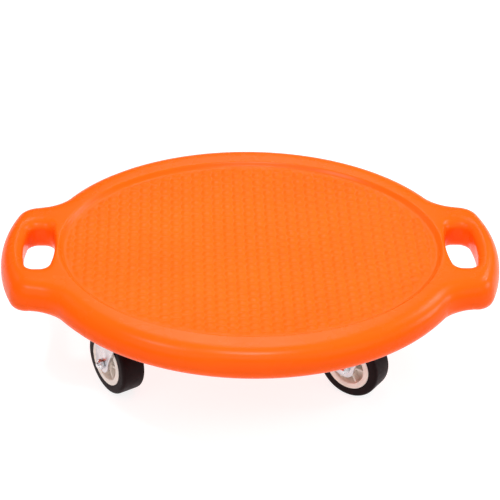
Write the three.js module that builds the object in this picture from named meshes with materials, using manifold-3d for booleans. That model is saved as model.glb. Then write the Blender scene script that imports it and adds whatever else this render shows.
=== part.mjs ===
// Oval scooter board: a dished plastic deck with a hand hole at each end, on four swivel casters.
// Millimetres, +Z up. The origin is on the floor under the middle of the deck, +X towards a handle.
import * as THREE from 'three';
import * as BufferGeometryUtils from 'three/addons/utils/BufferGeometryUtils.js';
import Module from 'manifold-3d';

const wasm = await Module();
wasm.setup();

// Deck outline, seen from above
const discHalfLength = 241.7;
const discHalfWidth = 220;
const tipReach = 36.9;
const tipHalfWidth = 83.4;
const flankAngle = THREE.MathUtils.degToRad(11.6);
const tipBowRadius = 210;
const tipCornerRadius = 29;
const neckFilletRadius = 42;

// Deck section
const deckThickness = 38;
const rimWaistHeight = 18;
const rimShoulder = 24;
const rimUnderShoulder = 22.9;
const rimFullnessShare = 0.84;
const gripWaistHeight = 13;
const gripShoulder = 18.7;
const gripUnderShoulder = 7.6;
const shoulderBlendStart = 190;
const shoulderBlendEnd = 252;
const panelHalfLength = 210;
const panelHalfWidth = 179;
const beadReach = 7;
const beadDrop = 1.5;
const panelLipRadius = 2;
const panelStepDepth = 3;
const panelDishDepth = 10;

// Hand holes
const gripWidth = 25.2;
const holeLength = 34.7;
const holeHalfWidth = 46.4;
const holeTipCornerRadius = 11.3;
const holeDiscCornerRadius = 11.9;
const holeDiscBowRadius = 172;
const topFlareGripSide = 10;
const topFlareDiscSide = 4;
const topFlareEnds = 7;
const topFlareDepth = 6;
const underFlareSides = 8;
const underFlareEnds = 16;
const underFlareDepth = 16.5;

// Underside of the deck
const fieldHalfLength = 198;
const fieldHalfWidth = 178;
const fieldDepth = 4;
const fieldDraft = 3;
const padMargin = 5;
const padCornerRadius = 11;
const kissPitch = 62;
const kissMouthRadius = 9;
const kissFloorRadius = 4.5;
const kissDepth = 10;
const kissMargin = 8;

// Casters
const casterHeight = 100;
const casterReachX = 135;
const casterReachY = 101.5;
const casterTrail = 26.6;
const wheelRadius = 37.5;
const wheelWidth = 29;

// Caster plate and its screws
const plateLength = 66;
const plateThickness = 2.5;
const plateCornerRadius = 8;
const plateHoleSpacing = 48;
const screwRadius = 2.5;
const screwHeadRadius = 4.5;
const screwHeadHeight = 3;
const screwFaceShare = 0.75;
const screwGrip = 16;
const screwTipRoom = 2;

// Swivel bearing and kingpin
const raceGap = 5.5;
const raceRadius = 13.5;
const shieldRadius = 19.5;
const shieldThickness = 2;
const shieldClearance = 1;
const cupRadius = 12.5;
const cupThickness = 1.5;
const cupDepth = 4;
const kingpinRadius = 4;
const kingpinHeadRadius = 7;
const kingpinTopHeadHeight = 1.3;
const kingpinFootHeight = 2;
const kingpinFootShare = 0.6;

// Fork
const forkThickness = 2.5;
const forkBendRadius = 5;
const forkSideClearance = 1.5;
const crownRadius = 23;
const crownSkirt = 8;
const legFrontReach = 13;
const legBackReach = 22;
const legBossRadius = 10.5;
const legHeelReach = 14;
const legFrontRise = 9;
const legStraightRise = 19;

// Wheel core, tyre and axle
const coreRadius = 26.9;
const coreRingWidth = 6.6;
const coreWebHalfThickness = 3;
const coreBossRadius = 9;
const coreRibThickness = 2;
const coreRibInset = 3;
const tyreShoulder = 3.6;
const tyreShoulderShare = 0.3;
const sleeveRadius = 5.2;
const axleRadius = 3;
const axleHexRadius = 5.8;
const axleHeadHeight = 4;
const axleNutHeight = 5;
const axleEndLength = 2;

// Clearances
const runningGap = 0.35;
const seatGap = 0.3;
const overrun = 1;

// Numbers of faces and copies
const bowSteps = 3;
const cornerSteps = 4;
const neckSteps = 3;
const discSteps = 9;
const shoulderSteps = 5;
const holeCornerSteps = 4;
const holeSideSteps = 2;
const flareSteps = 3;
const wheelSides = 20;
const coreRibs = 6;
const turnedSides = 10;
const ringSides = 12;
const screwSides = 6;
const ballSides = 6;
const hexSides = 6;
const plateCornerSteps = 3;
const strapBendSteps = 3;
const legCurveSteps = 4;
const bisections = 40;
const dishShares = [1, 0.88, 0.7, 0.45, 0.2];

// How far each caster has swivelled, counted from +X, and where it sits on the deck
const casters = [
  { name: 'front_left', sideX: -1, sideY: -1, yaw: THREE.MathUtils.degToRad(122.2) },
  { name: 'front_right', sideX: 1, sideY: -1, yaw: THREE.MathUtils.degToRad(144.2) },
  { name: 'back_left', sideX: -1, sideY: 1, yaw: THREE.MathUtils.degToRad(131) },
  { name: 'back_right', sideX: 1, sideY: 1, yaw: THREE.MathUtils.degToRad(138) },
];

// Lengths and heights worked out from the sizes above
const tipHalfLength = discHalfLength + tipReach;
const holeInnerReach = tipHalfLength - gripWidth - holeLength;
const deckUnderside = casterHeight;
const deckTop = deckUnderside + deckThickness;
const plateUnderside = casterHeight - plateThickness;
const crownTop = plateUnderside - raceGap;
const crownUnderside = crownTop - forkThickness;
const cupTop = crownUnderside - runningGap;
const cupUnderside = cupTop - cupDepth;
const axleHeight = wheelRadius;
const legInnerHalf = wheelWidth / 2 + forkSideClearance;
const legOuterHalf = legInnerHalf + forkThickness;

const xAxis = new THREE.Vector3(1, 0, 0);
const yAxis = new THREE.Vector3(0, 1, 0);
const zAxis = new THREE.Vector3(0, 0, 1);

const materials = {
  deck: { color: 0xfa6420, roughness: 0.42, metalness: 0 },
  zinc: { color: 0xb9bcc0, roughness: 0.35, metalness: 0.9 },
  core: { color: 0xe8dfd4, roughness: 0.5, metalness: 0 },
  tyre: { color: 0x1c191a, roughness: 0.6, metalness: 0 },
  steel: { color: 0x9a9da1, roughness: 0.3, metalness: 1 },
};

// A closed solid from a geometry, with its shared corners merged
function toSolid(geometry) {
  const bare = new THREE.BufferGeometry();
  bare.setAttribute('position', geometry.getAttribute('position'));
  bare.setIndex(geometry.getIndex());
  const merged = BufferGeometryUtils.mergeVertices(bare);
  return new wasm.Manifold(new wasm.Mesh({
    numProp: 3,
    vertProperties: new Float32Array(merged.getAttribute('position').array),
    triVerts: new Uint32Array(merged.getIndex().array),
  }));
}

function toGeometry(solid) {
  const mesh = solid.getMesh();
  const geometry = new THREE.BufferGeometry();
  geometry.setAttribute('position', new THREE.BufferAttribute(mesh.vertProperties, mesh.numProp));
  geometry.setIndex(new THREE.BufferAttribute(mesh.triVerts, 1));
  geometry.computeVertexNormals();
  return geometry;
}

function join(first, ...others) {
  return others.reduce((solid, other) => solid.add(other), first);
}

function cut(first, ...others) {
  return others.reduce((solid, other) => solid.subtract(other), first);
}

function namedMesh(name, geometry, materialName) {
  const material = new THREE.MeshStandardMaterial({ ...materials[materialName], flatShading: true });
  const mesh = new THREE.Mesh(geometry, material);
  mesh.name = name;
  return mesh;
}

// Root of a rising function between two values
function solve(rising, low, high) {
  for (let i = 0; i < bisections; i += 1) {
    const middle = (low + high) / 2;
    if (rising(middle) < 0) {
      low = middle;
    } else {
      high = middle;
    }
  }
  return (low + high) / 2;
}

// Outline points are { x, y, nx, ny }: a place and the outward direction there
function arcPoints(centre, radius, fromAngle, toAngle, steps, facing) {
  const points = [];
  for (let i = 0; i <= steps; i += 1) {
    const angle = THREE.MathUtils.lerp(fromAngle, toAngle, i / steps);
    const nx = Math.cos(angle);
    const ny = Math.sin(angle);
    points.push({
      x: centre.x + radius * nx,
      y: centre.y + radius * ny,
      nx: facing * nx,
      ny: facing * ny,
    });
  }
  return points;
}

function ellipsePoint(halfLength, halfWidth, angle) {
  const normal = new THREE.Vector2(Math.cos(angle) / halfLength, Math.sin(angle) / halfWidth).normalize();
  return {
    x: halfLength * Math.cos(angle),
    y: halfWidth * Math.sin(angle),
    nx: normal.x,
    ny: normal.y,
  };
}

function mirrored(points, signX, signY) {
  return points.map((p) => ({ x: p.x * signX, y: p.y * signY, nx: p.nx * signX, ny: p.ny * signY }));
}

// A quarter outline runs from the +X axis to the +Y axis; this closes it into the whole loop
function closeFromQuarter(quarter) {
  const back = [...quarter].reverse();
  return [
    ...quarter,
    ...mirrored(back, -1, 1).slice(1),
    ...mirrored(quarter, -1, -1).slice(1),
    ...mirrored(back, 1, -1).slice(1, -1),
  ];
}

// Deck outline: bowed tip, rounded corner, straight flank, hollow neck, then the oval disc
function deckOutline() {
  const bowCentre = new THREE.Vector2(tipHalfLength - tipBowRadius, 0);
  const flankPoint = new THREE.Vector2(tipHalfLength, tipHalfWidth);
  const flankNormal = new THREE.Vector2(Math.sin(flankAngle), Math.cos(flankAngle));
  const aboveFlank = (point) => point.clone().sub(flankPoint).dot(flankNormal);

  const cornerCentreAt = (angle) => new THREE.Vector2(Math.cos(angle), Math.sin(angle))
    .multiplyScalar(tipBowRadius - tipCornerRadius).add(bowCentre);
  const cornerAngle = solve((a) => aboveFlank(cornerCentreAt(a)) + tipCornerRadius, 0, Math.PI / 2);
  const bow = arcPoints(bowCentre, tipBowRadius, 0, cornerAngle, bowSteps, 1);
  const corner = arcPoints(
    cornerCentreAt(cornerAngle), tipCornerRadius, cornerAngle, flankNormal.angle(), cornerSteps, 1,
  );

  const neckCentreAt = (angle) => {
    const p = ellipsePoint(discHalfLength, discHalfWidth, angle);
    return new THREE.Vector2(p.x + p.nx * neckFilletRadius, p.y + p.ny * neckFilletRadius);
  };
  const discAngle = solve((a) => aboveFlank(neckCentreAt(a)) - neckFilletRadius, 0, Math.PI / 2);
  const discStart = ellipsePoint(discHalfLength, discHalfWidth, discAngle);
  const neck = arcPoints(
    neckCentreAt(discAngle),
    neckFilletRadius,
    flankNormal.angle() + Math.PI,
    Math.atan2(discStart.ny, discStart.nx) + Math.PI,
    neckSteps,
    -1,
  );

  const disc = [];
  for (let i = 1; i <= discSteps; i += 1) {
    const angle = THREE.MathUtils.lerp(discAngle, Math.PI / 2, i / discSteps);
    disc.push(ellipsePoint(discHalfLength, discHalfWidth, angle));
  }
  return closeFromQuarter([...bow, ...corner.slice(1), ...neck, ...disc]);
}

// A size of the edge that is one value on the disc and the flanks and another where the grips face outwards
function edgeSizeAt(point, onDisc, onGrip) {
  const share = THREE.MathUtils.smoothstep(Math.abs(point.x), shoulderBlendStart, shoulderBlendEnd);
  return THREE.MathUtils.lerp(onDisc, onGrip, share * Math.abs(point.nx));
}

// Solid through a stack of rings with equal numbers of points, closed by a fan at each end
function loft(rings) {
  const count = rings[0].length;
  const middleOf = (ring) => ring.reduce((sum, p) => sum.add(p), new THREE.Vector3()).divideScalar(count);
  const corners = [...rings.flat(), middleOf(rings[0]), middleOf(rings[rings.length - 1])];
  const firstMiddle = corners.length - 2;
  const lastMiddle = corners.length - 1;
  const lastRing = (rings.length - 1) * count;
  const index = [];
  for (let i = 0; i < count; i += 1) {
    const next = (i + 1) % count;
    index.push(firstMiddle, next, i);
    index.push(lastMiddle, lastRing + i, lastRing + next);
    for (let r = 0; r < lastRing; r += count) {
      index.push(r + i, r + next, r + count + next);
      index.push(r + i, r + count + next, r + count + i);
    }
  }
  const geometry = new THREE.BufferGeometry().setFromPoints(corners);
  geometry.setIndex(index);
  return toSolid(geometry);
}

function insetRing(outline, heightOf, insetOf) {
  return outline.map((p) => {
    const inset = insetOf(p);
    return new THREE.Vector3(p.x - p.nx * inset, p.y - p.ny * inset, heightOf(p));
  });
}

// Ring on an oval, with each point facing the same way as the outline point that it belongs to
function ovalRing(outline, halfLength, halfWidth, height) {
  return outline.map((p) => {
    const angle = Math.atan2(p.y / halfWidth, p.x / halfLength);
    return new THREE.Vector3(halfLength * Math.cos(angle), halfWidth * Math.sin(angle), height);
  });
}

// The moulded body with its round rim, the bead and step round the panel and the dished panel
function deckBody() {
  const outline = deckOutline();
  const waistOf = (p) => edgeSizeAt(p, rimWaistHeight, gripWaistHeight);
  const rings = [];
  for (let i = 0; i < shoulderSteps; i += 1) {
    const angle = (Math.PI / 2) * (i / shoulderSteps);
    const height = (p) => deckUnderside + waistOf(p) * (1 - Math.cos(angle));
    const inset = (p) => edgeSizeAt(p, rimUnderShoulder, gripUnderShoulder) * (1 - Math.sin(angle));
    rings.push(insetRing(outline, height, inset));
  }
  for (let i = 0; i <= shoulderSteps; i += 1) {
    const angle = (Math.PI / 2) * (i / shoulderSteps);
    const rise = Math.sin(angle) ** rimFullnessShare;
    const draw = 1 - Math.cos(angle) ** rimFullnessShare;
    const height = (p) => THREE.MathUtils.lerp(deckUnderside + waistOf(p), deckTop, rise);
    rings.push(insetRing(outline, height, (p) => edgeSizeAt(p, rimShoulder, gripShoulder) * draw));
  }
  const beadFoot = deckTop - beadDrop;
  rings.push(ovalRing(outline, panelHalfLength + beadReach, panelHalfWidth + beadReach, deckTop));
  rings.push(ovalRing(outline, panelHalfLength + panelLipRadius, panelHalfWidth + panelLipRadius, beadFoot));
  rings.push(ovalRing(outline, panelHalfLength, panelHalfWidth, beadFoot - panelLipRadius / 2));
  const panelEdge = beadFoot - panelStepDepth;
  dishShares.forEach((share) => {
    const height = panelEdge - panelDishDepth * (1 - share * share);
    const length = (panelHalfLength - panelLipRadius) * share;
    const width = (panelHalfWidth - panelLipRadius) * share;
    rings.push(ovalRing(outline, length, width, height));
  });
  return loft(rings);
}

// Outline of a hand hole on the +X side: bowed with the grip and, the other way, with the disc
function holeOutline() {
  const bowCentre = new THREE.Vector2(tipHalfLength - tipBowRadius, 0);
  const bowRadius = tipBowRadius - gripWidth;
  const tipTurn = Math.asin((holeHalfWidth - holeTipCornerRadius) / (bowRadius - holeTipCornerRadius));
  const tipCorner = new THREE.Vector2(Math.cos(tipTurn), Math.sin(tipTurn))
    .multiplyScalar(bowRadius - holeTipCornerRadius).add(bowCentre);
  const discCentre = new THREE.Vector2(holeInnerReach + holeDiscBowRadius, 0);
  const discReach = holeDiscBowRadius - holeDiscCornerRadius;
  const discTurn = Math.asin((holeHalfWidth - holeDiscCornerRadius) / discReach);
  const discCorner = new THREE.Vector2(-Math.cos(discTurn), Math.sin(discTurn))
    .multiplyScalar(discReach).add(discCentre);
  const half = [
    ...arcPoints(bowCentre, bowRadius, 0, tipTurn, bowSteps, 1),
    ...arcPoints(tipCorner, holeTipCornerRadius, tipTurn, Math.PI / 2, holeCornerSteps, 1).slice(1),
    ...arcPoints(discCorner, holeDiscCornerRadius, Math.PI / 2, Math.PI - discTurn, holeCornerSteps, 1),
    ...arcPoints(discCentre, holeDiscBowRadius, Math.PI - discTurn, Math.PI, holeSideSteps, 1).slice(1),
  ];
  return [...half, ...mirrored([...half].reverse(), 1, -1).slice(1, -1)];
}

// How far the upper edge of a hand hole is rounded back at a point of its outline
function topFlareAt(point) {
  const side = point.nx > 0 ? topFlareGripSide : topFlareDiscSide;
  return THREE.MathUtils.lerp(topFlareEnds, side, point.nx * point.nx);
}

function underFlareAt(point) {
  return THREE.MathUtils.lerp(underFlareEnds, underFlareSides, point.nx * point.nx);
}

// The body that is cut away for a hand hole, flared so that both edges of the hole come out round
function holeCutter() {
  const outline = holeOutline();
  const flaredRing = (flareAt, height, share) => insetRing(outline, () => height, (p) => -flareAt(p) * share);
  const rings = [flaredRing(underFlareAt, deckUnderside - overrun, 1)];
  for (let i = 0; i <= flareSteps; i += 1) {
    const angle = (Math.PI / 2) * (i / flareSteps);
    const height = deckUnderside + underFlareDepth * (1 - Math.cos(angle));
    rings.push(flaredRing(underFlareAt, height, 1 - Math.sin(angle)));
  }
  for (let i = flareSteps; i >= 0; i -= 1) {
    const angle = (Math.PI / 2) * (i / flareSteps);
    const height = deckTop - topFlareDepth * (1 - Math.cos(angle));
    rings.push(flaredRing(topFlareAt, height, 1 - Math.sin(angle)));
  }
  rings.push(flaredRing(topFlareAt, deckTop + overrun, 1));
  return loft(rings);
}

function roundedSquare(length, radius) {
  const half = length / 2;
  const shape = new THREE.Shape();
  shape.absarc(half - radius, half - radius, radius, 0, Math.PI / 2);
  shape.absarc(radius - half, half - radius, radius, Math.PI / 2, Math.PI);
  shape.absarc(radius - half, radius - half, radius, Math.PI, 1.5 * Math.PI);
  shape.absarc(half - radius, radius - half, radius, 1.5 * Math.PI, 2 * Math.PI);
  return shape;
}

// Upright solid cylinder or cone from one height to another
function uprightCylinder(x, y, lowRadius, highRadius, low, high, sides) {
  const geometry = new THREE.CylinderGeometry(highRadius, lowRadius, high - low, sides);
  geometry.rotateX(Math.PI / 2);
  geometry.translate(x, y, (low + high) / 2);
  return toSolid(geometry);
}

function casterPlaces() {
  return casters.map((caster) => ({ x: caster.sideX * casterReachX, y: caster.sideY * casterReachY }));
}

function screwPlaces(caster) {
  const places = [];
  [-1, 1].forEach((sideX) => {
    [-1, 1].forEach((sideY) => {
      places.push({
        x: caster.x + (sideX * plateHoleSpacing) / 2,
        y: caster.y + (sideY * plateHoleSpacing) / 2,
      });
    });
  });
  return places;
}

// Shallow field in the underside that leaves a flat pad standing for each caster
function underField() {
  const outline = deckOutline();
  const field = loft([
    ovalRing(outline, fieldHalfLength, fieldHalfWidth, deckUnderside - overrun),
    ovalRing(outline, fieldHalfLength, fieldHalfWidth, deckUnderside),
    ovalRing(outline, fieldHalfLength - fieldDraft, fieldHalfWidth - fieldDraft, deckUnderside + fieldDepth),
  ]);
  const pads = casterPlaces().map((place) => {
    const geometry = new THREE.ExtrudeGeometry(roundedSquare(plateLength + 2 * padMargin, padCornerRadius), {
      depth: fieldDepth + 2 * overrun,
      bevelEnabled: false,
      curveSegments: plateCornerSteps,
    });
    geometry.translate(place.x, place.y, deckUnderside - overrun);
    return toSolid(geometry);
  });
  return cut(field, ...pads);
}

// Conical hollows, in staggered rows clear of the pads, where the two skins of the moulding meet
function kissHollows() {
  const rowPitch = kissPitch * Math.sin(Math.PI / 3);
  const padReach = plateLength / 2 + padMargin + kissMouthRadius + kissMargin;
  const edgeRoom = fieldDraft + kissMouthRadius + kissMargin;
  const rows = Math.floor(fieldHalfWidth / rowPitch);
  const columns = Math.floor(fieldHalfLength / kissPitch);
  const hollows = [];
  for (let row = -rows; row <= rows; row += 1) {
    const shift = (Math.abs(row) % 2) * (kissPitch / 2);
    for (let column = -columns; column <= columns; column += 1) {
      const x = column * kissPitch + shift;
      const y = row * rowPitch;
      const inField = Math.hypot(x / (fieldHalfLength - edgeRoom), y / (fieldHalfWidth - edgeRoom)) < 1;
      const onPad = casterPlaces().some((p) => Math.max(Math.abs(x - p.x), Math.abs(y - p.y)) < padReach);
      if (inField && !onPad) {
        const floor = deckUnderside + fieldDepth + kissDepth;
        hollows.push(uprightCylinder(
          x, y, kissMouthRadius, kissFloorRadius, deckUnderside + fieldDepth - overrun, floor, turnedSides,
        ));
      }
    }
  }
  return hollows;
}

// Clearance hole for one screw, through the plate and up past the screw's tip in the deck
function screwHole(place) {
  const radius = screwRadius + seatGap;
  const top = deckUnderside + screwGrip + screwTipRoom;
  return uprightCylinder(place.x, place.y, radius, radius, plateUnderside - overrun, top, screwSides);
}

function deck() {
  const hole = holeCutter();
  const oppositeHole = hole.rotate([0, 0, 180]);
  const screws = casterPlaces().flatMap(screwPlaces).map((place) => screwHole(place));
  return cut(deckBody(), hole, oppositeHole, underField(), ...kissHollows(), ...screws);
}

// Turned piece: its profile is radius and height, and it is revolved about the upright axis
function turned(profile, sides) {
  const geometry = new THREE.LatheGeometry(profile.map(([r, h]) => new THREE.Vector2(r, h)), sides);
  return geometry.rotateX(Math.PI / 2);
}

// Square plate with a hole at each corner and a stepped hole that takes the kingpin's top head
function mountingPlate() {
  const geometry = new THREE.ExtrudeGeometry(roundedSquare(plateLength, plateCornerRadius), {
    depth: plateThickness,
    bevelEnabled: false,
    curveSegments: plateCornerSteps,
  });
  geometry.translate(0, 0, plateUnderside);
  const throughRadius = kingpinRadius + seatGap;
  const headRadius = kingpinHeadRadius + seatGap;
  const through = uprightCylinder(
    0, 0, throughRadius, throughRadius, plateUnderside - overrun, casterHeight + overrun, turnedSides,
  );
  const recess = uprightCylinder(
    0, 0, headRadius, headRadius, casterHeight - kingpinTopHeadHeight - seatGap, casterHeight + overrun, turnedSides,
  );
  const holes = screwPlaces({ x: 0, y: 0 }).map((place) => screwHole(place));
  return cut(toSolid(geometry), through, recess, ...holes);
}

// Pan-head screw, from its head under the plate up into the deck
function plateScrew() {
  const profile = [
    [0, plateUnderside - screwHeadHeight],
    [screwHeadRadius * screwFaceShare, plateUnderside - screwHeadHeight],
    [screwHeadRadius, plateUnderside],
    [screwRadius, plateUnderside],
    [screwRadius, deckUnderside + screwGrip],
    [0, deckUnderside + screwGrip],
  ];
  return turned(profile, screwSides);
}

// Ring of bearing balls between the plate and the crown of the fork
function ballRace() {
  const ballRadius = raceGap / 2 - runningGap;
  const geometry = new THREE.TorusGeometry(raceRadius, ballRadius, ballSides, ringSides);
  return geometry.translate(0, 0, (plateUnderside + crownTop) / 2);
}

// Dished washer that carries the crown from below
function lowerCup() {
  const bore = kingpinRadius + seatGap;
  const profile = [
    [bore, cupUnderside],
    [cupRadius - cupThickness, cupUnderside],
    [cupRadius, cupUnderside + cupThickness],
    [cupRadius, cupTop],
    [cupRadius - cupThickness, cupTop],
    [cupRadius - cupThickness, cupUnderside + cupThickness],
    [bore, cupUnderside + cupThickness],
    [bore, cupUnderside],
  ];
  return turned(profile, ringSides);
}

// Rivet that holds plate, crown and cup together
function kingpin() {
  const headTop = casterHeight - seatGap;
  const headUnderside = casterHeight - kingpinTopHeadHeight;
  const footTop = cupUnderside;
  const footUnderside = footTop - kingpinFootHeight;
  const profile = [
    [0, footUnderside],
    [kingpinHeadRadius * kingpinFootShare, footUnderside],
    [kingpinHeadRadius, footTop],
    [kingpinRadius, footTop],
    [kingpinRadius, headUnderside],
    [kingpinHeadRadius, headUnderside],
    [kingpinHeadRadius, headTop],
    [0, headTop],
  ];
  return turned(profile, turnedSides);
}

// The strap of the fork seen along the trail: an upside-down U with rounded bends
function strapSection() {
  const low = axleHeight - legBossRadius - overrun;
  const inner = forkBendRadius - forkThickness;
  const shape = new THREE.Shape();
  shape.moveTo(legOuterHalf, low);
  shape.absarc(legOuterHalf - forkBendRadius, crownTop - forkBendRadius, forkBendRadius, 0, Math.PI / 2);
  shape.absarc(forkBendRadius - legOuterHalf, crownTop - forkBendRadius, forkBendRadius, Math.PI / 2, Math.PI);
  shape.lineTo(-legOuterHalf, low);
  shape.lineTo(-legInnerHalf, low);
  shape.absarc(inner - legInnerHalf, crownUnderside - inner, inner, Math.PI, Math.PI / 2, true);
  shape.absarc(legInnerHalf - inner, crownUnderside - inner, inner, Math.PI / 2, 0, true);
  shape.lineTo(legInnerHalf, low);
  shape.closePath();
  const reach = casterTrail + legHeelReach + crownRadius + overrun;
  const geometry = new THREE.ExtrudeGeometry(shape, {
    depth: 2 * reach,
    bevelEnabled: false,
    curveSegments: strapBendSteps,
  });
  geometry.translate(0, 0, -reach);
  geometry.applyMatrix4(new THREE.Matrix4().makeBasis(yAxis, zAxis, xAxis));
  return toSolid(geometry);
}

// The fork's legs seen from the side: they sweep back from the crown to a rounded foot at the axle
function legProfile() {
  const axle = new THREE.Vector2(casterTrail, axleHeight);
  const frontFoot = new THREE.Vector2(casterTrail - legBossRadius, axleHeight);
  const heel = new THREE.Vector2(casterTrail + legHeelReach, axleHeight);
  const shape = new THREE.Shape();
  shape.moveTo(-legFrontReach, crownTop);
  shape.quadraticCurveTo(frontFoot.x, frontFoot.y + legFrontRise, frontFoot.x, frontFoot.y);
  shape.absarc(axle.x, axle.y, legBossRadius, Math.PI, 1.5 * Math.PI);
  shape.quadraticCurveTo(heel.x, axle.y - legBossRadius, heel.x, heel.y);
  shape.lineTo(heel.x, heel.y + legStraightRise);
  shape.quadraticCurveTo(heel.x, crownUnderside, legBackReach, crownTop);
  shape.lineTo(legBackReach, crownTop + overrun);
  shape.lineTo(-legFrontReach, crownTop + overrun);
  shape.closePath();
  const reach = legOuterHalf + overrun;
  const geometry = new THREE.ExtrudeGeometry(shape, {
    depth: 2 * reach,
    bevelEnabled: false,
    curveSegments: legCurveSteps,
  });
  geometry.translate(0, 0, -reach);
  geometry.applyMatrix4(new THREE.Matrix4().makeBasis(xAxis, zAxis, yAxis.clone().negate()));
  return toSolid(geometry);
}

// Cylinder along the axle from one side to the other
function axleCylinder(radius, from, to, sides) {
  const geometry = new THREE.CylinderGeometry(radius, radius, to - from, sides);
  geometry.translate(0, (from + to) / 2, 0);
  return toSolid(geometry);
}

// Pressed fork: round crown with a shield round the bearing, and two swept legs
function fork() {
  const crown = uprightCylinder(
    0, 0, crownRadius, crownRadius, crownTop - crownSkirt, crownTop + overrun, wheelSides,
  );
  const pressed = strapSection().intersect(join(crown, legProfile()));
  const shieldTop = plateUnderside - shieldClearance;
  const shieldRoot = crownTop - forkThickness / 2;
  const shield = toSolid(turned([
    [shieldRadius - shieldThickness, shieldRoot],
    [shieldRadius, shieldRoot],
    [shieldRadius, shieldTop],
    [shieldRadius - shieldThickness, shieldTop],
    [shieldRadius - shieldThickness, shieldRoot],
  ], ringSides));
  const pinHole = uprightCylinder(
    0, 0, kingpinRadius + runningGap, kingpinRadius + runningGap, crownUnderside - overrun, crownTop + overrun,
    turnedSides,
  );
  const axleHole = axleCylinder(axleRadius + seatGap, -legOuterHalf - overrun, legOuterHalf + overrun, turnedSides)
    .translate([casterTrail, 0, axleHeight]);
  return cut(join(pressed, shield), pinHole, axleHole);
}

// Wheel pieces lie with their axis along Y and their middle at the origin
function wheelLathe(profile, sides) {
  return new THREE.LatheGeometry(profile.map(([r, w]) => new THREE.Vector2(r, w)), sides);
}

// Moulded wheel core: bored boss, ribbed recess and a raised ring under the tyre
function wheelCore(ribPhase) {
  const bore = sleeveRadius + runningGap;
  const bossHalf = legInnerHalf - runningGap;
  const ringHalf = wheelWidth / 2;
  const ringInner = coreRadius - coreRingWidth;
  const rightSide = [
    [bore, bossHalf],
    [coreBossRadius, bossHalf],
    [coreBossRadius, coreWebHalfThickness],
    [ringInner, coreWebHalfThickness],
    [ringInner, ringHalf],
    [coreRadius, ringHalf],
  ];
  const leftSide = rightSide.map(([r, w]) => [r, -w]);
  const profile = [...leftSide, ...rightSide.reverse(), leftSide[0]];
  const body = toSolid(wheelLathe(profile, wheelSides));
  const ribs = [];
  for (let i = 0; i < coreRibs; i += 1) {
    const from = (bore + coreBossRadius) / 2;
    const to = coreRadius - coreRingWidth / 2;
    const geometry = new THREE.BoxGeometry(to - from, 2 * (ringHalf - coreRibInset), coreRibThickness);
    geometry.translate((from + to) / 2, 0, 0);
    geometry.rotateY(ribPhase + (2 * Math.PI * i) / coreRibs);
    ribs.push(toSolid(geometry));
  }
  return join(body, ...ribs);
}

// Flat tread with rounded shoulders
function tyre() {
  const inner = coreRadius + seatGap;
  const sideHalf = wheelWidth / 2 - seatGap;
  const rightSide = [
    [inner, sideHalf],
    [wheelRadius - tyreShoulder, sideHalf],
    [wheelRadius - tyreShoulder * tyreShoulderShare, sideHalf - tyreShoulder * tyreShoulderShare],
    [wheelRadius, sideHalf - tyreShoulder],
  ];
  const leftSide = rightSide.map(([r, w]) => [r, -w]);
  return wheelLathe([...leftSide, ...rightSide.reverse(), leftSide[0]], wheelSides);
}

function axleSleeve() {
  const half = legInnerHalf - seatGap;
  const bore = axleRadius + seatGap;
  return wheelLathe([
    [bore, -half], [sleeveRadius, -half], [sleeveRadius, half], [bore, half], [bore, -half],
  ], turnedSides);
}

function axleBolt() {
  const headFace = legOuterHalf + seatGap;
  const end = headFace + axleNutHeight + axleEndLength;
  const head = axleCylinder(axleHexRadius, -headFace - axleHeadHeight, -headFace, hexSides);
  const shank = axleCylinder(axleRadius, -headFace - axleHeadHeight / 2, end, turnedSides);
  return join(head, shank);
}

function axleNut() {
  const face = legOuterHalf + seatGap;
  const block = axleCylinder(axleHexRadius, face, face + axleNutHeight, hexSides);
  const hole = axleCylinder(axleRadius + seatGap, face - overrun, face + axleNutHeight + overrun, turnedSides);
  return cut(block, hole);
}

// One caster: what is fixed to the deck stays square to it, and the rest turns with the swivel
function addCaster(board, caster, order) {
  const fixed = new THREE.Group();
  fixed.position.set(caster.sideX * casterReachX, caster.sideY * casterReachY, 0);
  fixed.add(namedMesh(`mounting_plate_${caster.name}`, toGeometry(mountingPlate()), 'zinc'));
  fixed.add(namedMesh(`ball_race_${caster.name}`, ballRace(), 'steel'));
  fixed.add(namedMesh(`lower_race_cup_${caster.name}`, lowerCup(), 'zinc'));
  fixed.add(namedMesh(`kingpin_${caster.name}`, kingpin(), 'steel'));
  screwPlaces({ x: 0, y: 0 }).forEach((place, index) => {
    const screw = namedMesh(`plate_screw_${caster.name}_${index + 1}`, plateScrew(), 'steel');
    screw.position.set(place.x, place.y, 0);
    fixed.add(screw);
  });

  const swivel = new THREE.Group();
  swivel.rotation.z = caster.yaw;
  swivel.add(namedMesh(`swivel_fork_${caster.name}`, toGeometry(fork()), 'zinc'));
  const axle = new THREE.Group();
  axle.position.set(casterTrail, 0, axleHeight);
  axle.add(namedMesh(`axle_sleeve_${caster.name}`, axleSleeve(), 'steel'));
  axle.add(namedMesh(`axle_bolt_${caster.name}`, toGeometry(axleBolt()), 'steel'));
  axle.add(namedMesh(`axle_nut_${caster.name}`, toGeometry(axleNut()), 'steel'));
  axle.add(namedMesh(`wheel_core_${caster.name}`, toGeometry(wheelCore(order)), 'core'));
  axle.add(namedMesh(`tyre_${caster.name}`, tyre(), 'tyre'));
  swivel.add(axle);
  fixed.add(swivel);
  board.add(fixed);
}

const scooterBoard = new THREE.Group();
scooterBoard.add(namedMesh('deck', toGeometry(deck()), 'deck'));
casters.forEach((caster, order) => addCaster(scooterBoard, caster, order));

export default scooterBoard;
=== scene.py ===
"""Oval scooter board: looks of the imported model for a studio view. Metres, +Z up, in the model's frame."""
import math

import bmesh
import bpy
import numpy as np
from mathutils import Matrix, Vector


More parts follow.
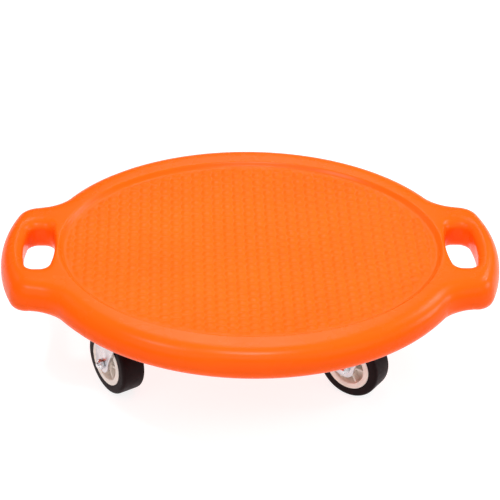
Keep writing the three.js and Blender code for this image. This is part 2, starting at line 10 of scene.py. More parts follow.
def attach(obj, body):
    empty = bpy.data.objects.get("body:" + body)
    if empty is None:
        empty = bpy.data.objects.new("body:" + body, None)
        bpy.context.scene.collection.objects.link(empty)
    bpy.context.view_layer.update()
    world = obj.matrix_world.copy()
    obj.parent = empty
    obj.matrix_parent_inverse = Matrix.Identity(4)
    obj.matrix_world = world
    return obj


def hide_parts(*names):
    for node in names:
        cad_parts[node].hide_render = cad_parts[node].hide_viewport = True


MM = 0.001

# Deck outline, as in the model
DISC_HALF_LENGTH = 241.7 * MM
DISC_HALF_WIDTH = 220 * MM
TIP_REACH = 36.9 * MM
TIP_HALF_LENGTH = DISC_HALF_LENGTH + TIP_REACH
TIP_HALF_WIDTH = 83.4 * MM
FLANK_ANGLE = math.radians(11.6)
FLANK_TURN = math.pi / 2 - FLANK_ANGLE
TIP_BOW_RADIUS = 210 * MM
TIP_CORNER_RADIUS = 29 * MM
NECK_FILLET_RADIUS = 42 * MM

# Deck section
DECK_UNDERSIDE = 100 * MM
DECK_THICKNESS = 38 * MM
RIM_WAIST = 18 * MM
RIM_SHOULDER = 24 * MM
RIM_UNDER_SHOULDER = 22.9 * MM
RIM_FULLNESS = 0.84
GRIP_WAIST = 13 * MM
GRIP_SHOULDER = 18.7 * MM
GRIP_UNDER_SHOULDER = 7.6 * MM
SHOULDER_BLEND_START = 190 * MM
SHOULDER_BLEND_END = 252 * MM
PANEL_HALF_LENGTH = 210 * MM
PANEL_HALF_WIDTH = 179 * MM
STEP_HEAD_REACH = 5 * MM
STEP_FOOT_REACH = -2.5 * MM
PANEL_STEP_DEPTH = 4.5 * MM
PANEL_DISH_DEPTH = 10 * MM

# Pebbles of the seat
PEBBLE_PITCH = 13.8 * MM
PEBBLE_HEIGHT = 1.5 * MM
PEBBLE_MARGIN = 1 * MM
PEBBLE_FADE = 5 * MM
PEBBLE_FULLNESS = 2.2
PEBBLE_SQUARENESS = 2.8

# Hand holes
GRIP_WIDTH = 25.2 * MM
HOLE_LENGTH = 34.7 * MM
HOLE_INNER_REACH = TIP_HALF_LENGTH - GRIP_WIDTH - HOLE_LENGTH
HOLE_HALF_WIDTH = 43 * MM
HOLE_TIP_CORNER_RADIUS = 11.3 * MM
HOLE_DISC_CORNER_RADIUS = 11.9 * MM
HOLE_DISC_BOW_RADIUS = 172 * MM
TOP_FLARE_GRIP_SIDE = 12 * MM
TOP_FLARE_DISC_SIDE = 4 * MM
TOP_FLARE_ENDS = 18 * MM
TOP_FLARE_DEPTH = 9 * MM
TOP_FLARE_LIP = 0.06 * MM
UNDER_FLARE_SIDES = 8 * MM
UNDER_FLARE_ENDS = 19 * MM
UNDER_FLARE_DEPTH = 16.5 * MM

# Underside of the deck
FIELD_HALF_LENGTH = 198 * MM
FIELD_HALF_WIDTH = 178 * MM
FIELD_DEPTH = 4 * MM
FIELD_DRAFT = 3 * MM
PAD_MARGIN = 5 * MM
PAD_CORNER_RADIUS = 11 * MM
PAD_DRAFT = 1.2 * MM
KISS_PITCH = 62 * MM
KISS_MOUTH_RADIUS = 9 * MM
KISS_FLOOR_RADIUS = 4.5 * MM
KISS_FLOOR_ROUND = 2 * MM
KISS_DEPTH = 10 * MM
KISS_MARGIN = 8 * MM

# Casters
CASTER_REACH_X = 135 * MM
CASTER_REACH_Y = 101.5 * MM
CASTER_TRAIL = 26.6 * MM
WHEEL_RADIUS = 37.5 * MM
WHEEL_WIDTH = 29 * MM
CASTERS = {
    "front_left": (-1, -1, math.radians(122.2)),
    "front_right": (1, -1, math.radians(144.2)),
    "back_left": (-1, 1, math.radians(131)),
    "back_right": (1, 1, math.radians(138)),
}

# Caster plate and its screws
PLATE_LENGTH = 66 * MM
PLATE_THICKNESS = 2.5 * MM
PLATE_CORNER_RADIUS = 8 * MM
PLATE_HOLE_SPACING = 48 * MM
SCREW_RADIUS = 2.5 * MM
SCREW_HEAD_RADIUS = 4.5 * MM
SCREW_HEAD_HEIGHT = 3 * MM
SCREW_GRIP = 16 * MM
SCREW_RECESS_LENGTH = 4.6 * MM
SCREW_RECESS_WIDTH = 1.1 * MM
SCREW_RECESS_DEPTH = 1.7 * MM

# Swivel bearing and kingpin
RACE_GAP = 5.5 * MM
RACE_RADIUS = 13.5 * MM
BALL_COUNT = 15
SHIELD_RADIUS = 19.5 * MM
SHIELD_THICKNESS = 2 * MM
SHIELD_CLEARANCE = 1 * MM
CUP_RADIUS = 12.5 * MM
CUP_THICKNESS = 1.5 * MM
CUP_DEPTH = 4 * MM
KINGPIN_RADIUS = 4 * MM
KINGPIN_HEAD_RADIUS = 7 * MM
KINGPIN_TOP_HEAD_HEIGHT = 1.3 * MM
KINGPIN_FOOT_HEIGHT = 2 * MM

# Fork
FORK_THICKNESS = 2.5 * MM
FORK_BEND_RADIUS = 5 * MM
FORK_SIDE_CLEARANCE = 1.5 * MM
CROWN_RADIUS = 23 * MM
CROWN_SKIRT = 8 * MM
LEG_FRONT_REACH = 13 * MM
LEG_BACK_REACH = 22 * MM
LEG_BOSS_RADIUS = 10.5 * MM
LEG_HEEL_REACH = 14 * MM
LEG_FRONT_RISE = 9 * MM
LEG_STRAIGHT_RISE = 19 * MM
CREASE_AHEAD = 4 * MM
CREASE_WIDTH = 3 * MM
CREASE_DEPTH = 0.45 * MM
CREASE_FOOT_RISE = 8 * MM

# Wheel core, tyre and axle
CORE_RADIUS = 26.9 * MM
CORE_RING_WIDTH = 6.6 * MM
CORE_WEB_HALF = 3 * MM
CORE_BOSS_RADIUS = 9 * MM
CORE_RIB_THICKNESS = 2 * MM
CORE_RIB_INSET = 3 * MM
CORE_RIBS = 6
TYRE_SHOULDER = 4.2 * MM
SLEEVE_RADIUS = 5.2 * MM
AXLE_RADIUS = 3 * MM
AXLE_HEX_RADIUS = 5.8 * MM
AXLE_HEAD_HEIGHT = 4 * MM
AXLE_NUT_HEIGHT = 5 * MM
AXLE_END_LENGTH = 2 * MM
THREAD_PITCH = 1 * MM
THREAD_DEPTH = 0.45 * MM
HEX_SIDES = 6
HEX_CHAMFER = 0.9 * MM

# Clearances and small roundings
RUNNING_GAP = 0.35 * MM
SEAT_GAP = 0.3 * MM
OVERRUN = 1 * MM
EDGE_ROUND = 0.5 * MM
THIN_EDGE_ROUND = 0.35 * MM
MERGE_DISTANCE = 0.001 * MM

# Numbers of faces
BOW_STEPS = 36
CORNER_STEPS = 24
NECK_STEPS = 16
DISC_STEPS = 150
SHOULDER_STEPS = 14
CREST_SHARES = (0.04, 0.2, 0.4, 0.6, 0.8, 0.96)
STEP_RINGS = 12
PANEL_RINGS = 170
HOLE_BOW_STEPS = 14
HOLE_CORNER_STEPS = 10
HOLE_SIDE_STEPS = 12
FLARE_STEPS = 9
ARC_STEPS = 10
ROUND_STEPS = 4
WHEEL_SIDES = 120
TURNED_SIDES = 40
FIELD_SIDES = 200
BALL_SUBDIVISIONS = 2
BISECTIONS = 60
BEVEL_STEPS = 2

# Angles between faces from which an edge counts as sharp
SMOOTH_ANGLE = math.radians(34)
BEVEL_ANGLE = math.radians(40)

# Camera, fitted to the photograph's outline; the sensor in millimetres, the distance in metres
IMAGE_SIZE = 500
SENSOR_WIDTH = 36
FOCAL_PIXELS = 2182
CAMERA_ELEVATION = math.radians(32.5)
CAMERA_AZIMUTH = math.radians(-2.395)
CAMERA_ROLL = math.radians(1.157)
CAMERA_DISTANCE = 2.444
AIM_RISE_PIXELS = 7.6
AIM_SIDE_PIXELS = 0.77

# Values worked out from the sizes above
DECK_TOP = DECK_UNDERSIDE + DECK_THICKNESS
DECK_MIDDLE = DECK_UNDERSIDE + DECK_THICKNESS / 2
PLATE_UNDERSIDE = DECK_UNDERSIDE - PLATE_THICKNESS
CROWN_TOP = PLATE_UNDERSIDE - RACE_GAP
CROWN_UNDERSIDE = CROWN_TOP - FORK_THICKNESS
CUP_TOP = CROWN_UNDERSIDE - RUNNING_GAP
CUP_UNDERSIDE = CUP_TOP - CUP_DEPTH
LEG_INNER_HALF = WHEEL_WIDTH / 2 + FORK_SIDE_CLEARANCE
LEG_OUTER_HALF = LEG_INNER_HALF + FORK_THICKNESS
AXLE_FLAT_RADIUS = AXLE_HEX_RADIUS * math.cos(math.pi / HEX_SIDES)


# Mesh helpers

def add_object(name, data):
    """New object in the scene for a mesh, a light or a camera."""
    made = bpy.data.objects.new(name, data)
    bpy.context.scene.collection.objects.link(made)
    return made


def tidy_mesh(mesh):
    """Merges shared corners and turns every face outwards."""
    work = bmesh.new()
    work.from_mesh(mesh)
    bmesh.ops.remove_doubles(work, verts=work.verts, dist=MERGE_DISTANCE)
    bmesh.ops.dissolve_degenerate(work, edges=work.edges, dist=MERGE_DISTANCE)
    bmesh.ops.recalc_face_normals(work, faces=work.faces)
    work.to_mesh(mesh)
    work.free()
    return mesh


def solid(points, faces):
    """Object for a closed mesh from its corners and faces."""
    mesh = bpy.data.meshes.new("solid")
    mesh.from_pydata([tuple(p) for p in points], [], faces)
    return add_object("solid", tidy_mesh(mesh))


def loft(rings):
    """Closed solid through a stack of rings with equal numbers of points."""
    rings = np.asarray(rings)
    layers, count = rings.shape[:2]
    points = np.vstack([rings.reshape(-1, 3), rings[0].mean(0), rings[-1].mean(0)])
    first_middle, last_middle = layers * count, layers * count + 1
    faces = []
    for layer in range(layers - 1):
        low = layer * count
        high = low + count
        for i in range(count):
            j = (i + 1) % count
            faces.append((low + i, low + j, high + j, high + i))
    top = (layers - 1) * count
    for i in range(count):
        j = (i + 1) % count
        faces.append((first_middle, j, i))
        faces.append((last_middle, top + i, top + j))
    return solid(points, faces)


def prism(outline, axis, low, high):
    """Closed solid that carries a flat outline along an axis, 0 for x, 1 for y and 2 for z."""
    others = [i for i in range(3) if i != axis]
    count = len(outline)
    points = np.zeros((2 * count, 3))
    points[:, others] = np.vstack([outline, outline])
    points[:count, axis] = low
    points[count:, axis] = high
    faces = [tuple(range(count)), tuple(range(count, 2 * count))]
    for i in range(count):
        j = (i + 1) % count
        faces.append((i, j, count + j, count + i))
    return solid(points, faces)


def revolve(profile, sides=TURNED_SIDES, axis=2, phase=0.0):
    """Closed solid from a profile of radius and height turned about an axis through the origin."""
    profile = np.asarray(profile, float)
    others = [(axis + 1) % 3, (axis + 2) % 3]
    turns = phase + np.arange(sides) * 2 * math.pi / sides
    points = np.zeros((sides, len(profile), 3))
    points[..., others[0]] = np.cos(turns)[:, None] * profile[None, :, 0]
    points[..., others[1]] = np.sin(turns)[:, None] * profile[None, :, 0]
    points[..., axis] = profile[None, :, 1]
    count = len(profile)
    faces = []
    for i in range(sides):
        j = (i + 1) % sides
        for k in range(count):
            n = (k + 1) % count
            faces.append((i * count + k, i * count + n, j * count + n, j * count + k))
    return solid(points.reshape(-1, 3), faces)


def bar(radius, low, high, sides=TURNED_SIDES, axis=2, phase=0.0):
    """Round or many-sided bar about an axis through the origin."""
    return revolve([(0, low), (radius, low), (radius, high), (0, high)], sides, axis, phase)


def rounded(points, radius, steps=ROUND_STEPS):
    """Closed outline with each corner rounded; a radius per corner can be given."""
    points = [np.asarray(p, float) for p in points]
    radii = radius if isinstance(radius, (list, tuple)) else [radius] * len(points)
    result = []
    for i, corner in enumerate(points):
        if radii[i] == 0:
            result.append(corner)
            continue
        back = points[i - 1] - corner
        ahead = points[(i + 1) % len(points)] - corner
        reach = min(radii[i], np.linalg.norm(back) / 2, np.linalg.norm(ahead) / 2)
        start = corner + back / np.linalg.norm(back) * reach
        end = corner + ahead / np.linalg.norm(ahead) * reach
        for step in range(steps + 1):
            t = step / steps
            result.append((1 - t) ** 2 * start + 2 * t * (1 - t) * corner + t ** 2 * end)
    return np.array(result)


def arc(centre, radius, start, end):
    turns = np.linspace(start, end, ARC_STEPS + 1)
    return np.c_[centre[0] + radius * np.cos(turns), centre[1] + radius * np.sin(turns)]


def bezier(start, control, end):
    t = np.linspace(0, 1, ARC_STEPS + 1)[:, None]
    start, control, end = (np.asarray(p, float) for p in (start, control, end))
    return (1 - t) ** 2 * start + 2 * t * (1 - t) * control + t ** 2 * end


def combine(base, other, operation):
    """Boolean of two closed solids; the second one is used up."""
    modifier = base.modifiers.new("combine", "BOOLEAN")
    modifier.operation = operation
    modifier.solver = "MANIFOLD"
    modifier.object = other
    apply_modifiers(base)
    bpy.data.objects.remove(other)
    return base


def cut(piece, *others):
    """Takes closed solids away from another one."""
    for other in others:
        combine(piece, other, "DIFFERENCE")
    return piece


def apply_modifiers(piece):
    view = bpy.context.evaluated_depsgraph_get()
    mesh = bpy.data.meshes.new_from_object(piece.evaluated_get(view))
    piece.modifiers.clear()
    piece.data = mesh
    return piece


def merge(pieces):
    """One object from several that don't touch."""
    work = bmesh.new()
    for piece in pieces:
        work.from_mesh(piece.data)
        bpy.data.objects.remove(piece)
    mesh = bpy.data.meshes.new("merged")
    work.to_mesh(mesh)
    work.free()
    return add_object("merged", mesh)


def moved(piece, x=0.0, y=0.0, z=0.0):
    piece.data.transform(Matrix.Translation((x, y, z)))
    return piece


def soften(piece, width):
    """Rounds the sharp edges of a piece."""
    modifier = piece.modifiers.new("soften", "BEVEL")
    modifier.width = width
    modifier.segments = BEVEL_STEPS
    modifier.limit_method = "ANGLE"
    modifier.angle_limit = BEVEL_ANGLE
    modifier.use_clamp_overlap = True
    return apply_modifiers(piece)


def smooth(piece):
    """Shades a piece smoothly but for its sharp edges."""
    mesh = piece.data
    mesh.polygons.foreach_set("use_smooth", [True] * len(mesh.polygons))
    mesh.set_sharp_from_angle(angle=SMOOTH_ANGLE)


def finish_piece(piece, name, node, body, slot, materials, place=None):
    """Names a copy of a piece, dresses it and ties it to its body and the node that it stands for."""
    mesh = piece.data.copy()
    if place is not None:
        mesh.transform(place)
    final = add_object(name, mesh)
    mesh.materials.clear()
    mesh.materials.append(materials[slot])
    smooth(final)
    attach(final, body)
    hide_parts(node)


# Deck

def solve(rising, low, high):
    """Root of a rising function between two values."""
    for _ in range(BISECTIONS):
        middle = (low + high) / 2
        if rising(middle) < 0:
            low = middle
        else:
            high = middle
    return (low + high) / 2


def unit(angle):
    return np.array([math.cos(angle), math.sin(angle)])


def arc_with_normals(centre, radius, start, end, steps, facing=1):
    """Rows of x, y and a direction along an arc; a facing of 1 points out of the arc and -1 into it."""
    return [
        np.r_[centre + radius * unit(a), facing * unit(a)]
        for a in np.linspace(start, end, steps + 1)
    ]


def disc_point(angle):
    """Row of x, y and the outward direction on the oval disc."""
    normal = np.array([math.cos(angle) / DISC_HALF_LENGTH, math.sin(angle) / DISC_HALF_WIDTH])
    place = np.array([DISC_HALF_LENGTH * math.cos(angle), DISC_HALF_WIDTH * math.sin(angle)])
    return np.r_[place, normal / np.linalg.norm(normal)]


def mirrored(points, sign_x, sign_y):
    return points * np.array([sign_x, sign_y, sign_x, sign_y])


def beyond_flank(place):
    """Distance of a place past the straight flank of the grip."""
    return (place - np.array([TIP_HALF_LENGTH, TIP_HALF_WIDTH])) @ unit(FLANK_TURN)


def tip_outline():
    """The bowed tip and its round corner, up to the flank."""
    bow_centre = np.array([TIP_HALF_LENGTH - TIP_BOW_RADIUS, 0])

    def corner_centre(angle):
        return bow_centre + (TIP_BOW_RADIUS - TIP_CORNER_RADIUS) * unit(angle)

    def error(angle):
        return beyond_flank(corner_centre(angle)) + TIP_CORNER_RADIUS

    angle = solve(error, 0, math.pi / 2)
    bow = arc_with_normals(bow_centre, TIP_BOW_RADIUS, 0, angle, BOW_STEPS)
    corner = arc_with_normals(corner_centre(angle), TIP_CORNER_RADIUS, angle, FLANK_TURN, CORNER_STEPS)
    return bow + corner[1:]


def disc_outline():
    """The hollow neck after the flank, and the oval disc up to the middle of the board."""
    def neck_centre(angle):
        p = disc_point(angle)
        return p[:2] + p[2:] * NECK_FILLET_RADIUS

    def error(angle):
        return beyond_flank(neck_centre(angle)) - NECK_FILLET_RADIUS

    angle = solve(error, 0, math.pi / 2)
    start = disc_point(angle)
    neck = arc_with_normals(
        neck_centre(angle), NECK_FILLET_RADIUS, FLANK_TURN + math.pi,
        math.atan2(start[3], start[2]) + math.pi, NECK_STEPS, facing=-1,
    )
    return neck + [disc_point(a) for a in np.linspace(angle, math.pi / 2, DISC_STEPS + 1)[1:]]


def deck_outline():
    """Rows of x, y and the outward direction: bowed tip, corner, flank, hollow neck and oval disc."""
    quarter = np.array(tip_outline() + disc_outline())
    back = quarter[::-1]
    return np.vstack([
        quarter, mirrored(back, -1, 1)[1:], mirrored(quarter, -1, -1)[1:], mirrored(back, 1, -1)[1:-1],
    ])


def smoothstep(value, low, high):
    t = np.clip((value - low) / (high - low), 0, 1)
    return t * t * (3 - 2 * t)


def edge_size_at(outline, on_disc, on_grip, power=1):
    """Size of the rim along the outline; a higher power keeps the grip's size to the grip's tip."""
    share = smoothstep(np.abs(outline[:, 0]), SHOULDER_BLEND_START, SHOULDER_BLEND_END)
    return on_disc + (on_grip - on_disc) * share * np.abs(outline[:, 2]) ** power


def inset_ring(outline, height, inset):
    """Ring inside an outline by a distance, or outside it by a negative one."""
    place = outline[:, :2] - outline[:, 2:] * np.asarray(inset).reshape(-1, 1)
    return np.c_[place, np.zeros(len(outline)) + height]


def oval_ring(outline, half_length, half_width, height):
    """Oval ring whose points lie in the outline's directions."""
    turns = np.arctan2(outline[:, 1] / half_width, outline[:, 0] / half_length)
    return np.c_[half_length * np.cos(turns), half_width * np.sin(turns), np.full(len(outline), height)]


def pebble(x, y):
    """Height of the rounded pebbles, which sit in staggered columns, from 0 to 1."""
    column = PEBBLE_PITCH * math.sin(math.pi / 3)
    lowest = np.full(x.shape, np.inf)
    for parity in (0, 1):
        dx = (x - parity * column + column) % (2 * column) - column
        dy = (y - parity * PEBBLE_PITCH / 2 + PEBBLE_PITCH / 2) % PEBBLE_PITCH - PEBBLE_PITCH / 2
        reach = np.abs(2 * dx / column) ** PEBBLE_SQUARENESS
        reach += np.abs(2 * dy / PEBBLE_PITCH) ** PEBBLE_SQUARENESS
        lowest = np.minimum(lowest, reach ** (1 / PEBBLE_SQUARENESS))
    return 1 - np.clip(lowest, 0, 1) ** PEBBLE_FULLNESS


def flat_rings(outline, crest):
    """Rings from the crest of the rim to the panel's step, turned to the outline's directions on the way.

    The turn starts slowly: the crest runs almost straight inwards beside the grips and faces could fold.
    """
    size = np.array([PANEL_HALF_LENGTH + STEP_HEAD_REACH, PANEL_HALF_WIDTH + STEP_HEAD_REACH])
    from_x, from_y = (crest[:, :2] / size).T
    to_x, to_y = (outline[:, :2] / size).T
    reach = np.hypot(from_x, from_y)
    start = np.arctan2(from_y, from_x)
    drift = np.arctan2(from_x * to_y - from_y * to_x, from_x * to_x + from_y * to_y)
    rings = []
    for share in CREST_SHARES:
        turn = start + drift * share ** 2
        scaled = np.c_[np.cos(turn), np.sin(turn)] * (reach + (1 - reach) * share).reshape(-1, 1)
        rings.append(np.c_[scaled * size, crest[:, 2]])
    return rings


def panel_rings(outline, crest):
    """Rings from the crest of the rim inwards: the flat top, the soft step and the pebbled dish."""
    rings = flat_rings(outline, crest)
    for i in range(STEP_RINGS + 1):
        share = i / STEP_RINGS
        reach = STEP_HEAD_REACH + (STEP_FOOT_REACH - STEP_HEAD_REACH) * share
        height = DECK_TOP - PANEL_STEP_DEPTH * smoothstep(share, 0, 1)
        rings.append(oval_ring(outline, PANEL_HALF_LENGTH + reach, PANEL_HALF_WIDTH + reach, height))
    half_length = PANEL_HALF_LENGTH + STEP_FOOT_REACH
    half_width = PANEL_HALF_WIDTH + STEP_FOOT_REACH
    for i in range(1, PANEL_RINGS):
        share = 1 - i / PANEL_RINGS
        ring = oval_ring(outline, half_length * share, half_width * share, 0)
        rough = smoothstep((1 - share) * half_width, PEBBLE_MARGIN, PEBBLE_MARGIN + PEBBLE_FADE)
        height = DECK_TOP - PANEL_STEP_DEPTH - PANEL_DISH_DEPTH * (1 - share ** 2)
        ring[:, 2] = height + PEBBLE_HEIGHT * rough * pebble(ring[:, 0], ring[:, 1])
        rings.append(ring)
    return rings


def deck_body():
    """The moulding without its holes: rings up the outside of the rim and then in over the top."""
    outline = deck_outline()
    rings = []
    waist = edge_size_at(outline, RIM_WAIST, GRIP_WAIST)
    under = edge_size_at(outline, RIM_UNDER_SHOULDER, GRIP_UNDER_SHOULDER)
    over = edge_size_at(outline, RIM_SHOULDER, GRIP_SHOULDER, power=2)
    quarter = np.linspace(0, math.pi / 2, SHOULDER_STEPS + 1)
    for turn in quarter[:-1]:
        height = DECK_UNDERSIDE + waist * (1 - math.cos(turn))
        rings.append(inset_ring(outline, height, under * (1 - math.sin(turn))))
    for turn in quarter:
        rise = math.sin(turn) ** RIM_FULLNESS
        height = DECK_UNDERSIDE + waist + (DECK_THICKNESS - waist) * rise
        rings.append(inset_ring(outline, height, over * (1 - abs(math.cos(turn)) ** RIM_FULLNESS)))
    return loft(rings + panel_rings(outline, rings[-1]))


def hole_outline():
    """Rows of x, y and the outward direction round the hand hole at the right."""
    bow_centre = np.array([TIP_HALF_LENGTH - TIP_BOW_RADIUS, 0])
    bow_radius = TIP_BOW_RADIUS - GRIP_WIDTH
    tip_reach = bow_radius - HOLE_TIP_CORNER_RADIUS
    tip_turn = math.asin((HOLE_HALF_WIDTH - HOLE_TIP_CORNER_RADIUS) / tip_reach)
    tip_corner = bow_centre + tip_reach * unit(tip_turn)
    disc_centre = np.array([HOLE_INNER_REACH + HOLE_DISC_BOW_RADIUS, 0])
    disc_reach = HOLE_DISC_BOW_RADIUS - HOLE_DISC_CORNER_RADIUS
    disc_turn = math.pi - math.asin((HOLE_HALF_WIDTH - HOLE_DISC_CORNER_RADIUS) / disc_reach)
    disc_corner = disc_centre + disc_reach * unit(disc_turn)
    right = math.pi / 2
    half = np.array(
        arc_with_normals(bow_centre, bow_radius, 0, tip_turn, HOLE_BOW_STEPS)
        + arc_with_normals(tip_corner, HOLE_TIP_CORNER_RADIUS, tip_turn, right, HOLE_CORNER_STEPS)[1:]
        + arc_with_normals(disc_corner, HOLE_DISC_CORNER_RADIUS, right, disc_turn, HOLE_CORNER_STEPS)
        + arc_with_normals(disc_centre, HOLE_DISC_BOW_RADIUS, disc_turn, math.pi, HOLE_SIDE_STEPS)[1:]
    )
    return np.vstack([half, mirrored(half[::-1], 1, -1)[1:-1]])


def hole_cutter():
    """Body cut away for a hand hole, flared at both faces so that its edges come out round.

    The top flare starts a little above the deck, so that it cuts the flat top cleanly.
    """
    outline = hole_outline()
    facing = outline[:, 2] ** 2
    side = np.where(outline[:, 2] > 0, TOP_FLARE_GRIP_SIDE, TOP_FLARE_DISC_SIDE)
    top_flare = TOP_FLARE_ENDS + (side - TOP_FLARE_ENDS) * facing
    under_flare = UNDER_FLARE_ENDS + (UNDER_FLARE_SIDES - UNDER_FLARE_ENDS) * facing
    rings = [inset_ring(outline, DECK_UNDERSIDE - OVERRUN, -under_flare)]
    quarter = np.linspace(0, math.pi / 2, FLARE_STEPS + 1)
    for turn in quarter:
        height = DECK_UNDERSIDE + UNDER_FLARE_DEPTH * (1 - math.cos(turn))
        rings.append(inset_ring(outline, height, -under_flare * (1 - math.sin(turn))))
    for turn in quarter[::-1]:
        height = DECK_TOP + TOP_FLARE_LIP - TOP_FLARE_DEPTH * (1 - math.cos(turn))
        rings.append(inset_ring(outline, height, -top_flare * (1 - math.sin(turn))))
    rings.append(inset_ring(outline, DECK_TOP + OVERRUN, -top_flare))
    return loft(rings)


def rounded_square(length, radius):
    half = length / 2
    return rounded([(half, half), (-half, half), (-half, -half), (half, -half)], radius, ARC_STEPS)


def caster_places():
    return [(side_x * CASTER_REACH_X, side_y * CASTER_REACH_Y) for side_x, side_y, _ in CASTERS.values()]


def screw_places():
    half = PLATE_HOLE_SPACING / 2
    return [(side_x * half, side_y * half) for side_x in (-1, 1) for side_y in (-1, 1)]


def under_field():
    """Shallow drafted field in the underside, with a pad left standing for each caster."""
    turns = np.linspace(0, 2 * math.pi, FIELD_SIDES + 1)[:-1]
    oval = np.c_[np.cos(turns), np.sin(turns)]
    levels = [(-OVERRUN, 0), (0, 0), (FIELD_DEPTH, FIELD_DRAFT)]
    field = loft([
        np.c_[
            oval * [FIELD_HALF_LENGTH - inset, FIELD_HALF_WIDTH - inset],
            np.full(FIELD_SIDES, DECK_UNDERSIDE + height),
        ]
        for height, inset in levels
    ])
    pad_length = PLATE_LENGTH + 2 * PAD_MARGIN
    levels = [(-2 * OVERRUN, 0), (0, 0), (FIELD_DEPTH, PAD_DRAFT), (FIELD_DEPTH + OVERRUN, PAD_DRAFT)]
    pads = []
    for x, y in caster_places():
        rings = []
        for height, draft in levels:
            square = rounded_square(pad_length + 2 * draft, PAD_CORNER_RADIUS + draft)
            rings.append(np.c_[square + [x, y], np.full(len(square), DECK_UNDERSIDE + height)])
        pads.append(loft(rings))
    return cut(field, merge(pads))


def kiss_hollows():
    """Round hollows in staggered rows, where the two skins of the moulding meet."""
    row_pitch = KISS_PITCH * math.sin(math.pi / 3)
    pad_reach = PLATE_LENGTH / 2 + PAD_MARGIN + KISS_MOUTH_RADIUS + KISS_MARGIN
    edge_room = FIELD_DRAFT + KISS_MOUTH_RADIUS + KISS_MARGIN
    room_x = FIELD_HALF_LENGTH - edge_room
    room_y = FIELD_HALF_WIDTH - edge_room
    rows = int(FIELD_HALF_WIDTH // row_pitch)
    columns = int(FIELD_HALF_LENGTH // KISS_PITCH)
    low = DECK_UNDERSIDE + FIELD_DEPTH
    profile = rounded(
        [(0, low - OVERRUN), (KISS_MOUTH_RADIUS, low - OVERRUN), (KISS_MOUTH_RADIUS, low),
         (KISS_FLOOR_RADIUS, low + KISS_DEPTH), (0, low + KISS_DEPTH)],
        [0, 0, 0, KISS_FLOOR_ROUND, 0],
    )
    hollows = []
    for row in range(-rows, rows + 1):
        for column in range(-columns, columns + 1):
            x = column * KISS_PITCH + (abs(row) % 2) * KISS_PITCH / 2
            y = row * row_pitch
            in_field = math.hypot(x / room_x, y / room_y) < 1
            on_pad = any(max(abs(x - px), abs(y - py)) < pad_reach for px, py in caster_places())
            if in_field and not on_pad:
                hollows.append(moved(revolve(profile), x, y))
    return merge(hollows)


def screw_holes():
    radius = SCREW_RADIUS + SEAT_GAP
    low = DECK_UNDERSIDE - OVERRUN
    high = DECK_UNDERSIDE + SCREW_GRIP + OVERRUN
    return merge([
        moved(bar(radius, low, high), caster_x + x, caster_y + y)
        for caster_x, caster_y in caster_places() for x, y in screw_places()
    ])


def deck():
    """The moulding with its underside, screw holes and both hand holes."""
    right = hole_cutter()
    left = add_object("hole", right.data.copy())
    left.data.transform(Matrix.Rotation(math.pi, 4, "Z"))
    return cut(deck_body(), under_field(), kiss_hollows(), screw_holes(), merge([right, left]))


# Caster pieces, built about the swivel axis with the trail along x

def at_axle(piece):
    return moved(piece, x=CASTER_TRAIL, z=WHEEL_RADIUS)


def mounting_plate():
    """Plate with a hole and a recess for the kingpin and four screw holes."""
    square = rounded_square(PLATE_LENGTH, PLATE_CORNER_RADIUS)
    plate = prism(square, 2, PLATE_UNDERSIDE, DECK_UNDERSIDE)
    high = DECK_UNDERSIDE + OVERRUN
    low = PLATE_UNDERSIDE - OVERRUN
    recess_floor = DECK_UNDERSIDE - KINGPIN_TOP_HEAD_HEIGHT - SEAT_GAP
    recess = bar(KINGPIN_HEAD_RADIUS + SEAT_GAP, recess_floor, high)
    holes = [moved(bar(SCREW_RADIUS + SEAT_GAP, low, high), x, y) for x, y in screw_places()]
    return soften(cut(plate, bar(KINGPIN_RADIUS + SEAT_GAP, low, high), recess, merge(holes)), EDGE_ROUND)


def plate_screw():
    """Pan-head screw with a cross recess."""
    face = PLATE_UNDERSIDE - SCREW_HEAD_HEIGHT
    profile = rounded(
        [(0, face), (SCREW_HEAD_RADIUS, face), (SCREW_HEAD_RADIUS, PLATE_UNDERSIDE),
         (SCREW_RADIUS, PLATE_UNDERSIDE), (SCREW_RADIUS, DECK_UNDERSIDE + SCREW_GRIP),
         (0, DECK_UNDERSIDE + SCREW_GRIP)],
        [0, SCREW_HEAD_HEIGHT * 2, EDGE_ROUND / 2, 0, EDGE_ROUND, 0], ARC_STEPS,
    )
    screw = revolve(profile)
    half = SCREW_RECESS_LENGTH / 2
    narrow = SCREW_RECESS_WIDTH / 2
    slot = [(-half, face - OVERRUN), (half, face - OVERRUN), (half - narrow, face + SCREW_RECESS_DEPTH),
            (narrow - half, face + SCREW_RECESS_DEPTH)]
    return cut(screw, *[prism(slot, axis, -narrow, narrow) for axis in (0, 1)])


def balls():
    """The bearing balls that the plate and the crown run on."""
    radius = RACE_GAP / 2 - RUNNING_GAP
    middle = (PLATE_UNDERSIDE + CROWN_TOP) / 2
    work = bmesh.new()
    for i in range(BALL_COUNT):
        turn = 2 * math.pi * i / BALL_COUNT
        place = Matrix.Translation((RACE_RADIUS * math.cos(turn), RACE_RADIUS * math.sin(turn), middle))
        bmesh.ops.create_icosphere(work, subdivisions=BALL_SUBDIVISIONS, radius=radius, matrix=place)
    mesh = bpy.data.meshes.new("balls")
    work.to_mesh(mesh)
    work.free()
    return add_object("balls", mesh)


